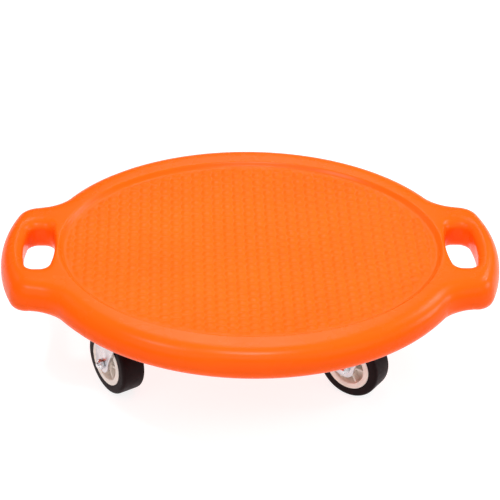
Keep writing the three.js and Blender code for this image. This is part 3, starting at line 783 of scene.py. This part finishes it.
def lower_cup():
    bore = KINGPIN_RADIUS + SEAT_GAP
    wall = CUP_RADIUS - CUP_THICKNESS
    profile = rounded(
        [(bore, CUP_UNDERSIDE), (CUP_RADIUS, CUP_UNDERSIDE), (CUP_RADIUS, CUP_TOP), (wall, CUP_TOP),
         (wall, CUP_UNDERSIDE + CUP_THICKNESS), (bore, CUP_UNDERSIDE + CUP_THICKNESS)],
        [THIN_EDGE_ROUND, CUP_THICKNESS * 2, THIN_EDGE_ROUND, THIN_EDGE_ROUND, CUP_THICKNESS,
         THIN_EDGE_ROUND],
    )
    return revolve(profile)


def kingpin():
    """Rivet with a domed foot below the cup and a flat head sunk in the plate."""
    head_top = DECK_UNDERSIDE - SEAT_GAP
    head_underside = DECK_UNDERSIDE - KINGPIN_TOP_HEAD_HEIGHT
    foot = CUP_UNDERSIDE - KINGPIN_FOOT_HEIGHT
    profile = rounded(
        [(0, foot), (KINGPIN_HEAD_RADIUS, foot), (KINGPIN_HEAD_RADIUS, CUP_UNDERSIDE),
         (KINGPIN_RADIUS, CUP_UNDERSIDE), (KINGPIN_RADIUS, head_underside),
         (KINGPIN_HEAD_RADIUS, head_underside), (KINGPIN_HEAD_RADIUS, head_top), (0, head_top)],
        [0, KINGPIN_FOOT_HEIGHT * 2, THIN_EDGE_ROUND, 0, 0, THIN_EDGE_ROUND, THIN_EDGE_ROUND, 0], ARC_STEPS,
    )
    return revolve(profile)


def strap():
    """The bent strap of the fork seen along the trail."""
    low = WHEEL_RADIUS - LEG_BOSS_RADIUS - OVERRUN
    outer = FORK_BEND_RADIUS
    inner = FORK_BEND_RADIUS - FORK_THICKNESS
    quarter = math.pi / 2
    section = np.vstack([
        [(LEG_OUTER_HALF, low)],
        arc((LEG_OUTER_HALF - outer, CROWN_TOP - outer), outer, 0, quarter),
        arc((outer - LEG_OUTER_HALF, CROWN_TOP - outer), outer, quarter, 2 * quarter),
        [(-LEG_OUTER_HALF, low), (-LEG_INNER_HALF, low)],
        arc((inner - LEG_INNER_HALF, CROWN_UNDERSIDE - inner), inner, 2 * quarter, quarter),
        arc((LEG_INNER_HALF - inner, CROWN_UNDERSIDE - inner), inner, quarter, 0),
        [(LEG_INNER_HALF, low)],
    ])
    reach = CASTER_TRAIL + LEG_HEEL_REACH + CROWN_RADIUS + OVERRUN
    return prism(section, 0, -reach, reach)


def leg_side():
    """The legs seen from the side, swept back from the crown to a rounded foot at the axle."""
    toe = CASTER_TRAIL - LEG_BOSS_RADIUS
    heel = CASTER_TRAIL + LEG_HEEL_REACH
    sole = WHEEL_RADIUS - LEG_BOSS_RADIUS
    straight = WHEEL_RADIUS + LEG_STRAIGHT_RISE
    outline = np.vstack([
        bezier((-LEG_FRONT_REACH, CROWN_TOP), (toe, WHEEL_RADIUS + LEG_FRONT_RISE), (toe, WHEEL_RADIUS)),
        arc((CASTER_TRAIL, WHEEL_RADIUS), LEG_BOSS_RADIUS, math.pi, 1.5 * math.pi)[1:],
        bezier((CASTER_TRAIL, sole), (heel, sole), (heel, WHEEL_RADIUS))[1:],
        bezier((heel, straight), (heel, CROWN_UNDERSIDE), (LEG_BACK_REACH, CROWN_TOP)),
        [(LEG_BACK_REACH, CROWN_TOP + OVERRUN), (-LEG_FRONT_REACH, CROWN_TOP + OVERRUN)],
    ])
    reach = LEG_OUTER_HALF + OVERRUN
    return prism(outline, 1, -reach, reach)


def leg_creases():
    """Pressed grooves down the outside of both legs, ahead of the axle."""
    x = CASTER_TRAIL - CREASE_AHEAD
    half = CREASE_WIDTH / 2
    low = WHEEL_RADIUS + CREASE_FOOT_RISE
    high = CROWN_TOP - FORK_BEND_RADIUS
    creases = []
    for side in (-1, 1):
        face = side * LEG_OUTER_HALF
        section = [
            (x - half, face + side * OVERRUN), (x - half, face), (x, face - side * CREASE_DEPTH),
            (x + half, face), (x + half, face + side * OVERRUN),
        ]
        creases.append(prism(section, 2, low, high))
    return merge(creases)


def fork():
    """Pressed fork: a bent strap cut to crown and swept legs, with the shield round the bearing."""
    crown = bar(CROWN_RADIUS, CROWN_TOP - CROWN_SKIRT, CROWN_TOP + OVERRUN, WHEEL_SIDES)
    piece = combine(strap(), combine(crown, leg_side(), "UNION"), "INTERSECT")
    root = CROWN_TOP - FORK_THICKNESS / 2
    high = PLATE_UNDERSIDE - SHIELD_CLEARANCE
    inner = SHIELD_RADIUS - SHIELD_THICKNESS
    shield = [(inner, root), (SHIELD_RADIUS, root), (SHIELD_RADIUS, high), (inner, high)]
    piece = combine(piece, revolve(shield, WHEEL_SIDES), "UNION")
    pin_hole = bar(KINGPIN_RADIUS + RUNNING_GAP, CROWN_UNDERSIDE - OVERRUN, CROWN_TOP + OVERRUN)
    reach = LEG_OUTER_HALF + OVERRUN
    axle_hole = at_axle(bar(AXLE_RADIUS + SEAT_GAP, -reach, reach, axis=1))
    return soften(cut(piece, pin_hole, axle_hole, leg_creases()), EDGE_ROUND)


def wheel_core():
    """Moulded core with a raised ring, a ribbed recess and a bored boss."""
    bore = SLEEVE_RADIUS + RUNNING_GAP
    boss_half = LEG_INNER_HALF - RUNNING_GAP
    ring_half = WHEEL_WIDTH / 2
    ring_inner = CORE_RADIUS - CORE_RING_WIDTH
    side = [
        (bore, boss_half), (CORE_BOSS_RADIUS, boss_half), (CORE_BOSS_RADIUS, CORE_WEB_HALF),
        (ring_inner, CORE_WEB_HALF), (ring_inner, ring_half), (CORE_RADIUS, ring_half),
    ]
    other = [(r, -h) for r, h in side[::-1]]
    radii = [THIN_EDGE_ROUND, EDGE_ROUND, EDGE_ROUND * 2, EDGE_ROUND * 2, EDGE_ROUND * 2, EDGE_ROUND]
    core = revolve(rounded(side + other, radii + radii[::-1]), WHEEL_SIDES, axis=1)
    inner = (bore + CORE_BOSS_RADIUS) / 2
    outer = CORE_RADIUS - CORE_RING_WIDTH / 2
    half = CORE_RIB_THICKNESS / 2
    reach = ring_half - CORE_RIB_INSET
    for i in range(CORE_RIBS):
        rib = prism([(inner, -half), (outer, -half), (outer, half), (inner, half)], 1, -reach, reach)
        rib.data.transform(Matrix.Rotation(2 * math.pi * i / CORE_RIBS, 4, "Y"))
        core = combine(core, rib, "UNION")
    return soften(at_axle(core), THIN_EDGE_ROUND)


def tyre():
    inner = CORE_RADIUS + SEAT_GAP
    half = WHEEL_WIDTH / 2 - SEAT_GAP
    section = [(inner, half), (WHEEL_RADIUS, half), (WHEEL_RADIUS, -half), (inner, -half)]
    radii = [EDGE_ROUND, TYRE_SHOULDER, TYRE_SHOULDER, EDGE_ROUND]
    return at_axle(revolve(rounded(section, radii, ARC_STEPS), WHEEL_SIDES, axis=1))


def axle_sleeve():
    half = LEG_INNER_HALF - SEAT_GAP
    bore = AXLE_RADIUS + SEAT_GAP
    section = [(bore, -half), (SLEEVE_RADIUS, -half), (SLEEVE_RADIUS, half), (bore, half)]
    return at_axle(revolve(rounded(section, THIN_EDGE_ROUND), axis=1))


def hexagon(low, high, high_radius):
    """Hexagonal block across the leg; turning takes its corners off, at the high face from a radius."""
    block = bar(AXLE_HEX_RADIUS, low, high, HEX_SIDES, axis=1, phase=math.pi / HEX_SIDES)
    wide = AXLE_HEX_RADIUS + OVERRUN
    turned = revolve(
        [(0, low), (AXLE_FLAT_RADIUS, low), (wide, low + HEX_CHAMFER), (wide, high - HEX_CHAMFER),
         (high_radius, high), (0, high)],
        axis=1,
    )
    return combine(block, turned, "INTERSECT")


def axle_bolt():
    """Hexagonal bolt whose threaded end stands out of the nut."""
    face = LEG_OUTER_HALF + SEAT_GAP
    end = face + AXLE_NUT_HEIGHT + AXLE_END_LENGTH
    head = hexagon(-face - AXLE_HEAD_HEIGHT, -face, AXLE_HEX_RADIUS + OVERRUN)
    root = AXLE_RADIUS - THREAD_DEPTH
    profile = [(0, -face - AXLE_HEAD_HEIGHT / 2), (AXLE_RADIUS, -face - AXLE_HEAD_HEIGHT / 2)]
    turns = int((AXLE_NUT_HEIGHT + AXLE_END_LENGTH) / THREAD_PITCH)
    for i in range(turns):
        place = face + i * THREAD_PITCH
        profile += [(AXLE_RADIUS, place), (root, place + THREAD_PITCH / 2)]
    profile.append((AXLE_RADIUS - THREAD_DEPTH / 2, end - THREAD_DEPTH))
    profile += [(root - THREAD_DEPTH / 2, end), (0, end)]
    return at_axle(combine(head, revolve(profile, axis=1), "UNION"))


def axle_nut():
    """Hexagonal nut with the round collar of a lock nut."""
    face = LEG_OUTER_HALF + SEAT_GAP
    low = face + AXLE_NUT_HEIGHT / 2
    high = face + AXLE_NUT_HEIGHT
    block = hexagon(face, high - AXLE_NUT_HEIGHT / 4, AXLE_FLAT_RADIUS)
    radius = AXLE_FLAT_RADIUS - EDGE_ROUND
    collar = rounded([(0, low), (radius, low), (radius, high), (0, high)], [0, 0, EDGE_ROUND * 2, 0])
    block = combine(block, revolve(collar, axis=1), "UNION")
    hole = bar(AXLE_RADIUS + SEAT_GAP, face - OVERRUN, high + OVERRUN, axis=1)
    return at_axle(cut(block, hole))


# Materials

# Colours as linear red, green and blue
DECK_COLOUR = (0.95, 0.105, 0.004)
DECK_DEEP_COLOUR = (0.93, 0.096, 0.003)
DECK_SCUFF_COLOUR = (0.95, 0.132, 0.012)
ZINC_COLOUR = (0.74, 0.70, 0.71)
ZINC_DULL_COLOUR = (0.58, 0.56, 0.59)
FLOOR_COLOUR = (0.30, 0.30, 0.30)
FLOOR_SHADE_COLOUR = (0.285, 0.285, 0.29)

# Roughness of the smoothest and of the dullest spots
DECK_ROUGHNESS = (0.23, 0.33)
PANEL_EXTRA_ROUGHNESS = 0.10
ZINC_ROUGHNESS = (0.22, 0.42)
FLOOR_ROUGHNESS = 0.9

# How strongly the deck's clear surface mirrors, and how much the floor glows
DECK_SHEEN = 0.07
FLOOR_GLOW = 0.84

# Noise patterns: waves per metre, levels of detail and weight of the finer levels
DECK_CLOUDS = (9, 4, 0.55)
DECK_STREAKS = (60, 6, 0.6)
DECK_SPOTS = (35, 4, 0.55)
DECK_GRAIN = (1400, 3, 0.55)
DECK_RIPPLE = (120, 2, 0.55)
ZINC_PATCHES = (70, 4, 0.55)
ZINC_DRAWING = (900, 2, 0.5)
FLOOR_SHADES = (3, 4, 0.55)
FLOOR_GRAIN = (400, 2, 0.55)

# How many times closer the waves of a pattern lie along x, y and z
DECK_STREAK_CLOSENESS = (0.25, 3.0, 1.0)
ZINC_DRAWING_CLOSENESS = (1.0, 1.0, 0.08)

# Values of a pattern between which it goes from none to full, and how much full is
CLOUD_SPAN = (0.35, 0.65)
ZINC_PATCH_SPAN = (0.35, 0.7)
SPOT_SPAN = (0.3, 0.7)
DECK_SPOT_SPAN = (0.3, 0.9)
ZINC_SPOT_SPAN = (0.4, 1.6)
PANEL_EDGE_SPAN = (0.97, 1.01)
DECK_SCUFF_SPAN, DECK_SCUFF_SHARE = (0.66, 0.80), 0.2

# Relief of the fine patterns: depth and strength
DECK_GRAIN_RELIEF = (0.06 * MM, 0.5)
DECK_RIPPLE_RELIEF = (0.1 * MM, 0.35)
ZINC_RELIEF = (0.03 * MM, 0.35)
FLOOR_RELIEF = (0.1 * MM, 0.1)

# The other looks. Patches have a pattern, a span and the share of their colour; a look without spots of its
# own is dull where its patches are.
LOOKS = {
    # Bright plated steel with a few dull patches
    "fastener_steel": {
        "colours": ((0.80, 0.80, 0.82), (0.66, 0.66, 0.70)), "roughness": (0.18, 0.34),
        "patches": ((260, 4, 0.55), (0.35, 0.7), 1), "grain": (2500, 2, 0.55), "relief": (0.02 * MM, 0.3),
        "plain": {"Metallic": 1},
    },
    # Bare steel under a film of old grease
    "bearing_steel": {
        "colours": ((0.55, 0.55, 0.57), (0.30, 0.27, 0.24)), "roughness": (0.24, 0.5),
        "patches": ((180, 4, 0.55), (0.4, 0.7), 1), "grain": (3000, 2, 0.55), "relief": (0.02 * MM, 0.3),
        "plain": {"Metallic": 1},
    },
    # Off-white moulded polypropylene with a little dust on it
    "wheel_plastic": {
        "colours": ((0.88, 0.80, 0.73), (0.70, 0.59, 0.51)), "roughness": (0.38, 0.52),
        "patches": ((140, 5, 0.55), (0.45, 0.75), 0.5), "spots": (300, 4, 0.55),
        "grain": (1600, 3, 0.55), "relief": (0.04 * MM, 0.4), "plain": {},
    },
    # Black moulded rubber, scuffed and a little dusty; both colours carry a red tint that is painted
    # reflection of the orange deck
    "tyre_rubber": {
        "colours": ((0.009, 0.0015, 0.0018), (0.020, 0.006, 0.007)), "roughness": (0.40, 0.58),
        "patches": ((110, 6, 0.65), (0.45, 0.8), 0.6), "spots": (240, 4, 0.55),
        "grain": (1800, 4, 0.55), "relief": (0.08 * MM, 0.45), "plain": {"Specular IOR Level": 0.09},
    },
}

# Colour sockets of the mix node, which share their names with sockets of other kinds
MIX_FIRST = 6
MIX_SECOND = 7
MIX_RESULT = 2


class Shader:
    """Small helper that builds one node material."""

    def __init__(self, name):
        self.material = bpy.data.materials.new(name)
        self.material.use_nodes = True
        self.nodes = self.material.node_tree.nodes
        self.links = self.material.node_tree.links
        self.surface = self.nodes["Principled BSDF"]
        self.coordinates = self.nodes.new("ShaderNodeTexCoord").outputs["Object"]

    def node(self, kind, **values):
        node = self.nodes.new(kind)
        for key, value in values.items():
            setattr(node, key, value)
        return node

    def stretched(self, scale):
        """Coordinates of the piece, scaled along x, y and z."""
        mapping = self.node("ShaderNodeMapping")
        mapping.inputs["Scale"].default_value = scale
        self.links.new(self.coordinates, mapping.inputs["Vector"])
        return mapping.outputs["Vector"]

    def oval_reach(self, half_length, half_width):
        """Distance from the middle, as a share of an oval's own reach in that direction."""
        node = self.node("ShaderNodeVectorMath", operation="LENGTH")
        self.links.new(self.stretched((1 / half_length, 1 / half_width, 0)), node.inputs[0])
        return node.outputs["Value"]

    def noise(self, pattern, vector=None):
        node = self.node("ShaderNodeTexNoise")
        for socket, value in zip(("Scale", "Detail", "Roughness"), pattern):
            node.inputs[socket].default_value = value
        self.links.new(vector or self.coordinates, node.inputs["Vector"])
        return node.outputs["Fac"]

    def spread(self, source, span, onto=(0, 1)):
        """Carries a span of values onto another one and holds it at the ends."""
        node = self.node("ShaderNodeMapRange", clamp=True)
        for socket, value in zip(("From Min", "From Max", "To Min", "To Max"), (*span, *onto)):
            node.inputs[socket].default_value = value
        self.links.new(source, node.inputs["Value"])
        return node.outputs["Result"]

    def add(self, first, second):
        node = self.node("ShaderNodeMath", operation="ADD")
        self.links.new(first, node.inputs[0])
        self.links.new(second, node.inputs[1])
        return node.outputs[0]

    def blend(self, factor, first, second):
        """Mix of two colours, each of them given or made by another node."""
        node = self.node("ShaderNodeMix", data_type="RGBA")
        self.links.new(factor, node.inputs["Factor"])
        for socket, value in ((node.inputs[MIX_FIRST], first), (node.inputs[MIX_SECOND], second)):
            if isinstance(value, tuple):
                socket.default_value = (*value, 1)
            else:
                self.links.new(value, socket)
        return node.outputs[MIX_RESULT]

    def bump(self, height, relief, below=None):
        """Surface direction for a fine relief, on top of the one below it."""
        node = self.node("ShaderNodeBump")
        node.inputs["Distance"].default_value, node.inputs["Strength"].default_value = relief
        self.links.new(height, node.inputs["Height"])
        if below is not None:
            self.links.new(below, node.inputs["Normal"])
        return node.outputs["Normal"]

    def put(self, socket, value):
        """Sets a socket of the surface to a value or to the output of another node."""
        if isinstance(value, (int, float, tuple)):
            self.surface.inputs[socket].default_value = value
        else:
            self.links.new(value, self.surface.inputs[socket])


def deck_material():
    """Satin orange polyethylene with a fine moulded grain, faint flow clouds and light scuffs."""
    s = Shader("deck_plastic")
    clouds = s.spread(s.noise(DECK_CLOUDS), CLOUD_SPAN)
    streaks = s.noise(DECK_STREAKS, s.stretched(DECK_STREAK_CLOSENESS))
    scuffs = s.spread(streaks, DECK_SCUFF_SPAN, (0, DECK_SCUFF_SHARE))
    s.put("Base Color", s.blend(scuffs, s.blend(clouds, DECK_COLOUR, DECK_DEEP_COLOUR), DECK_SCUFF_COLOUR))
    reach = s.oval_reach(PANEL_HALF_LENGTH, PANEL_HALF_WIDTH)
    panel = s.spread(reach, PANEL_EDGE_SPAN, (PANEL_EXTRA_ROUGHNESS, 0))
    spots = s.spread(s.add(s.noise(DECK_SPOTS), scuffs), DECK_SPOT_SPAN, DECK_ROUGHNESS)
    s.put("Roughness", s.add(spots, panel))
    grain = s.bump(s.noise(DECK_GRAIN), DECK_GRAIN_RELIEF)
    s.put("Normal", s.bump(s.noise(DECK_RIPPLE), DECK_RIPPLE_RELIEF, grain))
    s.put("Specular IOR Level", DECK_SHEEN)
    return s.material


def zinc_material():
    """Bright zinc plate on pressed sheet, with drawn streaks and a few dull patches."""
    s = Shader("zinc_plate")
    patches = s.spread(s.noise(ZINC_PATCHES), ZINC_PATCH_SPAN)
    s.put("Base Color", s.blend(patches, ZINC_COLOUR, ZINC_DULL_COLOUR))
    s.put("Metallic", 1)
    drawn = s.noise(ZINC_DRAWING, s.stretched(ZINC_DRAWING_CLOSENESS))
    s.put("Roughness", s.spread(s.add(patches, drawn), ZINC_SPOT_SPAN, ZINC_ROUGHNESS))
    s.put("Normal", s.bump(drawn, ZINC_RELIEF))
    return s.material


def look_material(name):
    """Material from the table of looks, with patches of a second colour and a fine grain."""
    look = LOOKS[name]
    s = Shader(name)
    pattern, span, share = look["patches"]
    patches = s.spread(s.noise(pattern), span, (0, share))
    s.put("Base Color", s.blend(patches, *look["colours"]))
    if "spots" in look:
        s.put("Roughness", s.spread(s.noise(look["spots"]), SPOT_SPAN, look["roughness"]))
    else:
        s.put("Roughness", s.spread(patches, (0, 1), look["roughness"]))
    s.put("Normal", s.bump(s.noise(look["grain"]), look["relief"]))
    for socket, value in look["plain"].items():
        s.put(socket, value)
    return s.material


def floor_material():
    """Pale paper that is lit a little from behind, so that shadows on it stay light."""
    s = Shader("floor_paper")
    shade = s.spread(s.noise(FLOOR_SHADES), SPOT_SPAN)
    s.put("Base Color", s.blend(shade, FLOOR_COLOUR, FLOOR_SHADE_COLOUR))
    s.put("Roughness", FLOOR_ROUGHNESS)
    s.put("Normal", s.bump(s.noise(FLOOR_GRAIN), FLOOR_RELIEF))
    s.put("Emission Color", (1, 1, 1, 1))
    s.put("Emission Strength", FLOOR_GLOW)
    return s.material


# The whole board

def piece_materials():
    """Material of every piece by its slot; the floor has one of its own."""
    looks = {slot: look_material(slot) for slot in LOOKS}
    return {"deck_plastic": deck_material(), "zinc_plate": zinc_material(), **looks}


def caster_kinds():
    """Pieces of one caster as shape and slot, by the kind of body that carries them."""
    return {
        "board": {
            "mounting_plate": (mounting_plate(), "zinc_plate"),
            "ball_race": (balls(), "bearing_steel"),
            "lower_race_cup": (lower_cup(), "zinc_plate"),
            "kingpin": (kingpin(), "bearing_steel"),
        },
        "caster": {
            "swivel_fork": (fork(), "zinc_plate"),
            "axle_sleeve": (axle_sleeve(), "bearing_steel"),
            "axle_bolt": (axle_bolt(), "fastener_steel"),
            "axle_nut": (axle_nut(), "fastener_steel"),
        },
        "wheel": {
            "wheel_core": (wheel_core(), "wheel_plastic"),
            "tyre": (tyre(), "tyre_rubber"),
        },
    }


def place_caster(name, kinds, materials, place, swing):
    """Puts the pieces of one caster in place: the fixed ones square, the others turned with the fork."""
    for carrier, pieces in kinds.items():
        fixed = carrier == "board"
        body = carrier if fixed else f"{carrier}_{name}"
        for kind, (piece, slot) in pieces.items():
            node = f"{kind}_{name}"
            finish_piece(piece, f"{node}_detail", node, body, slot, materials, place if fixed else swing)


def place_screws(name, screw, materials, place):
    """Puts the four screws of one caster in its plate."""
    for i, (x, y) in enumerate(screw_places()):
        node = f"plate_screw_{name}_{i + 1}"
        spot = place @ Matrix.Translation((x, y, 0))
        finish_piece(screw, f"{node}_detail", node, "board", "fastener_steel", materials, spot)


def build_board():
    """Makes every kind of piece once, sets copies in place and removes the templates."""
    materials = piece_materials()
    board = deck()
    finish_piece(board, "deck_moulding", "deck", "board", "deck_plastic", materials)
    kinds = caster_kinds()
    screw = plate_screw()
    for name, (side_x, side_y, yaw) in CASTERS.items():
        place = Matrix.Translation((side_x * CASTER_REACH_X, side_y * CASTER_REACH_Y, 0))
        place_caster(name, kinds, materials, place, place @ Matrix.Rotation(yaw, 4, "Z"))
        place_screws(name, screw, materials, place)
    templates = [piece for pieces in kinds.values() for piece, _ in pieces.values()]
    for template in [*templates, screw, board]:
        bpy.data.objects.remove(template)


# Studio

FLOOR_HALF = 6.0
WORLD_STRENGTH = 0.07

# Lights: place and width in metres, strength in watts. The pool is a soft beam on the middle of the seat.
POOL_PLACE = (0.02, -0.15, 2.2)
POOL_POWER = 115
POOL_SHAPE = {"spot_size": math.radians(24), "spot_blend": 1, "shadow_soft_size": 0.15}
LIGHTS = {
    "top": ((0, 0, 2.8), 3.4, 5),
    "top_left": ((-0.95, -0.3, 2.1), 0.3, 14),
    "front_left": ((-1.5, -1.5, 1.9), 1.8, 17),
    "front_right": ((1.5, -1.5, 1.9), 1.8, 12),
    "back_left": ((-1.4, 1.2, 1.5), 1.0, 3),
    "back_right": ((1.4, 1.2, 1.5), 0.8, 20),
    "right": ((2.1, 0.2, 0.9), 0.8, 18),
    "back_low": ((0.1, 2.0, 1.42), 0.7, 2.8),
    "front_low": ((0, -2.3, 0.5), 1.6, 7),
    "front_high": ((0, -1.2, 1.95), 0.9, 7),
    "back_high": ((0, 1.6, 1.84), 0.8, 9),
}


def floor():
    mesh = bpy.data.meshes.new("floor")
    corners = [(-1, -1), (1, -1), (1, 1), (-1, 1)]
    mesh.from_pydata([(x * FLOOR_HALF, y * FLOOR_HALF, 0) for x, y in corners], [], [(0, 1, 2, 3)])
    plane = add_object("floor", mesh)
    plane.data.materials.append(floor_material())


def hang(name, kind, place, power, **shape):
    """Adds a light in its place, aimed at the middle of the deck."""
    light = bpy.data.lights.new(name, kind)
    light.energy = power
    for key, value in shape.items():
        setattr(light, key, value)
    lamp = add_object(name, light)
    lamp.location = place
    aim = Vector((0, 0, DECK_TOP))
    lamp.rotation_euler = (aim - Vector(place)).to_track_quat("-Z", "Y").to_euler()


def studio_lights():
    world = bpy.data.worlds.new("studio")
    world.use_nodes = True
    background = world.node_tree.nodes["Background"]
    background.inputs["Color"].default_value = (1, 1, 1, 1)
    background.inputs["Strength"].default_value = WORLD_STRENGTH
    bpy.context.scene.world = world
    for name, (place, size, power) in LIGHTS.items():
        hang(name, "AREA", place, power, shape="DISK", size=size)
    hang("pool", "SPOT", POOL_PLACE, POOL_POWER, **POOL_SHAPE)


def camera():
    """Camera at the photograph's place, turned by its small roll."""
    data = bpy.data.cameras.new("camera")
    data.sensor_width = SENSOR_WIDTH
    data.lens = FOCAL_PIXELS / IMAGE_SIZE * SENSOR_WIDTH
    data.shift_x = -AIM_SIDE_PIXELS / IMAGE_SIZE
    right = Vector((math.cos(CAMERA_AZIMUTH), math.sin(CAMERA_AZIMUTH), 0))
    ahead = Vector((-math.sin(CAMERA_AZIMUTH), math.cos(CAMERA_AZIMUTH), 0))
    rise = Vector((0, 0, 1))
    away = rise * math.sin(CAMERA_ELEVATION) - ahead * math.cos(CAMERA_ELEVATION)
    place = away * CAMERA_DISTANCE + rise * DECK_MIDDLE
    dip = CAMERA_ELEVATION - math.atan(AIM_RISE_PIXELS / FOCAL_PIXELS)
    forward = ahead * math.cos(dip) - rise * math.sin(dip)
    up = right.cross(forward)
    turned_right = right * math.cos(CAMERA_ROLL) + up * math.sin(CAMERA_ROLL)
    turned_up = up * math.cos(CAMERA_ROLL) - right * math.sin(CAMERA_ROLL)
    turn = Matrix((turned_right, turned_up, -forward)).transposed()
    eye = add_object("camera", data)
    eye.matrix_world = Matrix.Translation(place) @ turn.to_4x4()
    bpy.context.scene.camera = eye


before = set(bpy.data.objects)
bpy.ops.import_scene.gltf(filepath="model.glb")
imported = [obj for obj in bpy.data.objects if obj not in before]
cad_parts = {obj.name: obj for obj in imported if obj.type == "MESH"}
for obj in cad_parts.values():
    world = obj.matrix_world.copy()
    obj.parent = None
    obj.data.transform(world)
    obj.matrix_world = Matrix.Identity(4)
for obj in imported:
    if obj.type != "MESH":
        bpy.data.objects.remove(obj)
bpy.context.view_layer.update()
camera()
build_board()
floor()
studio_lights()
bpy.context.scene.view_settings.view_transform = "Standard"
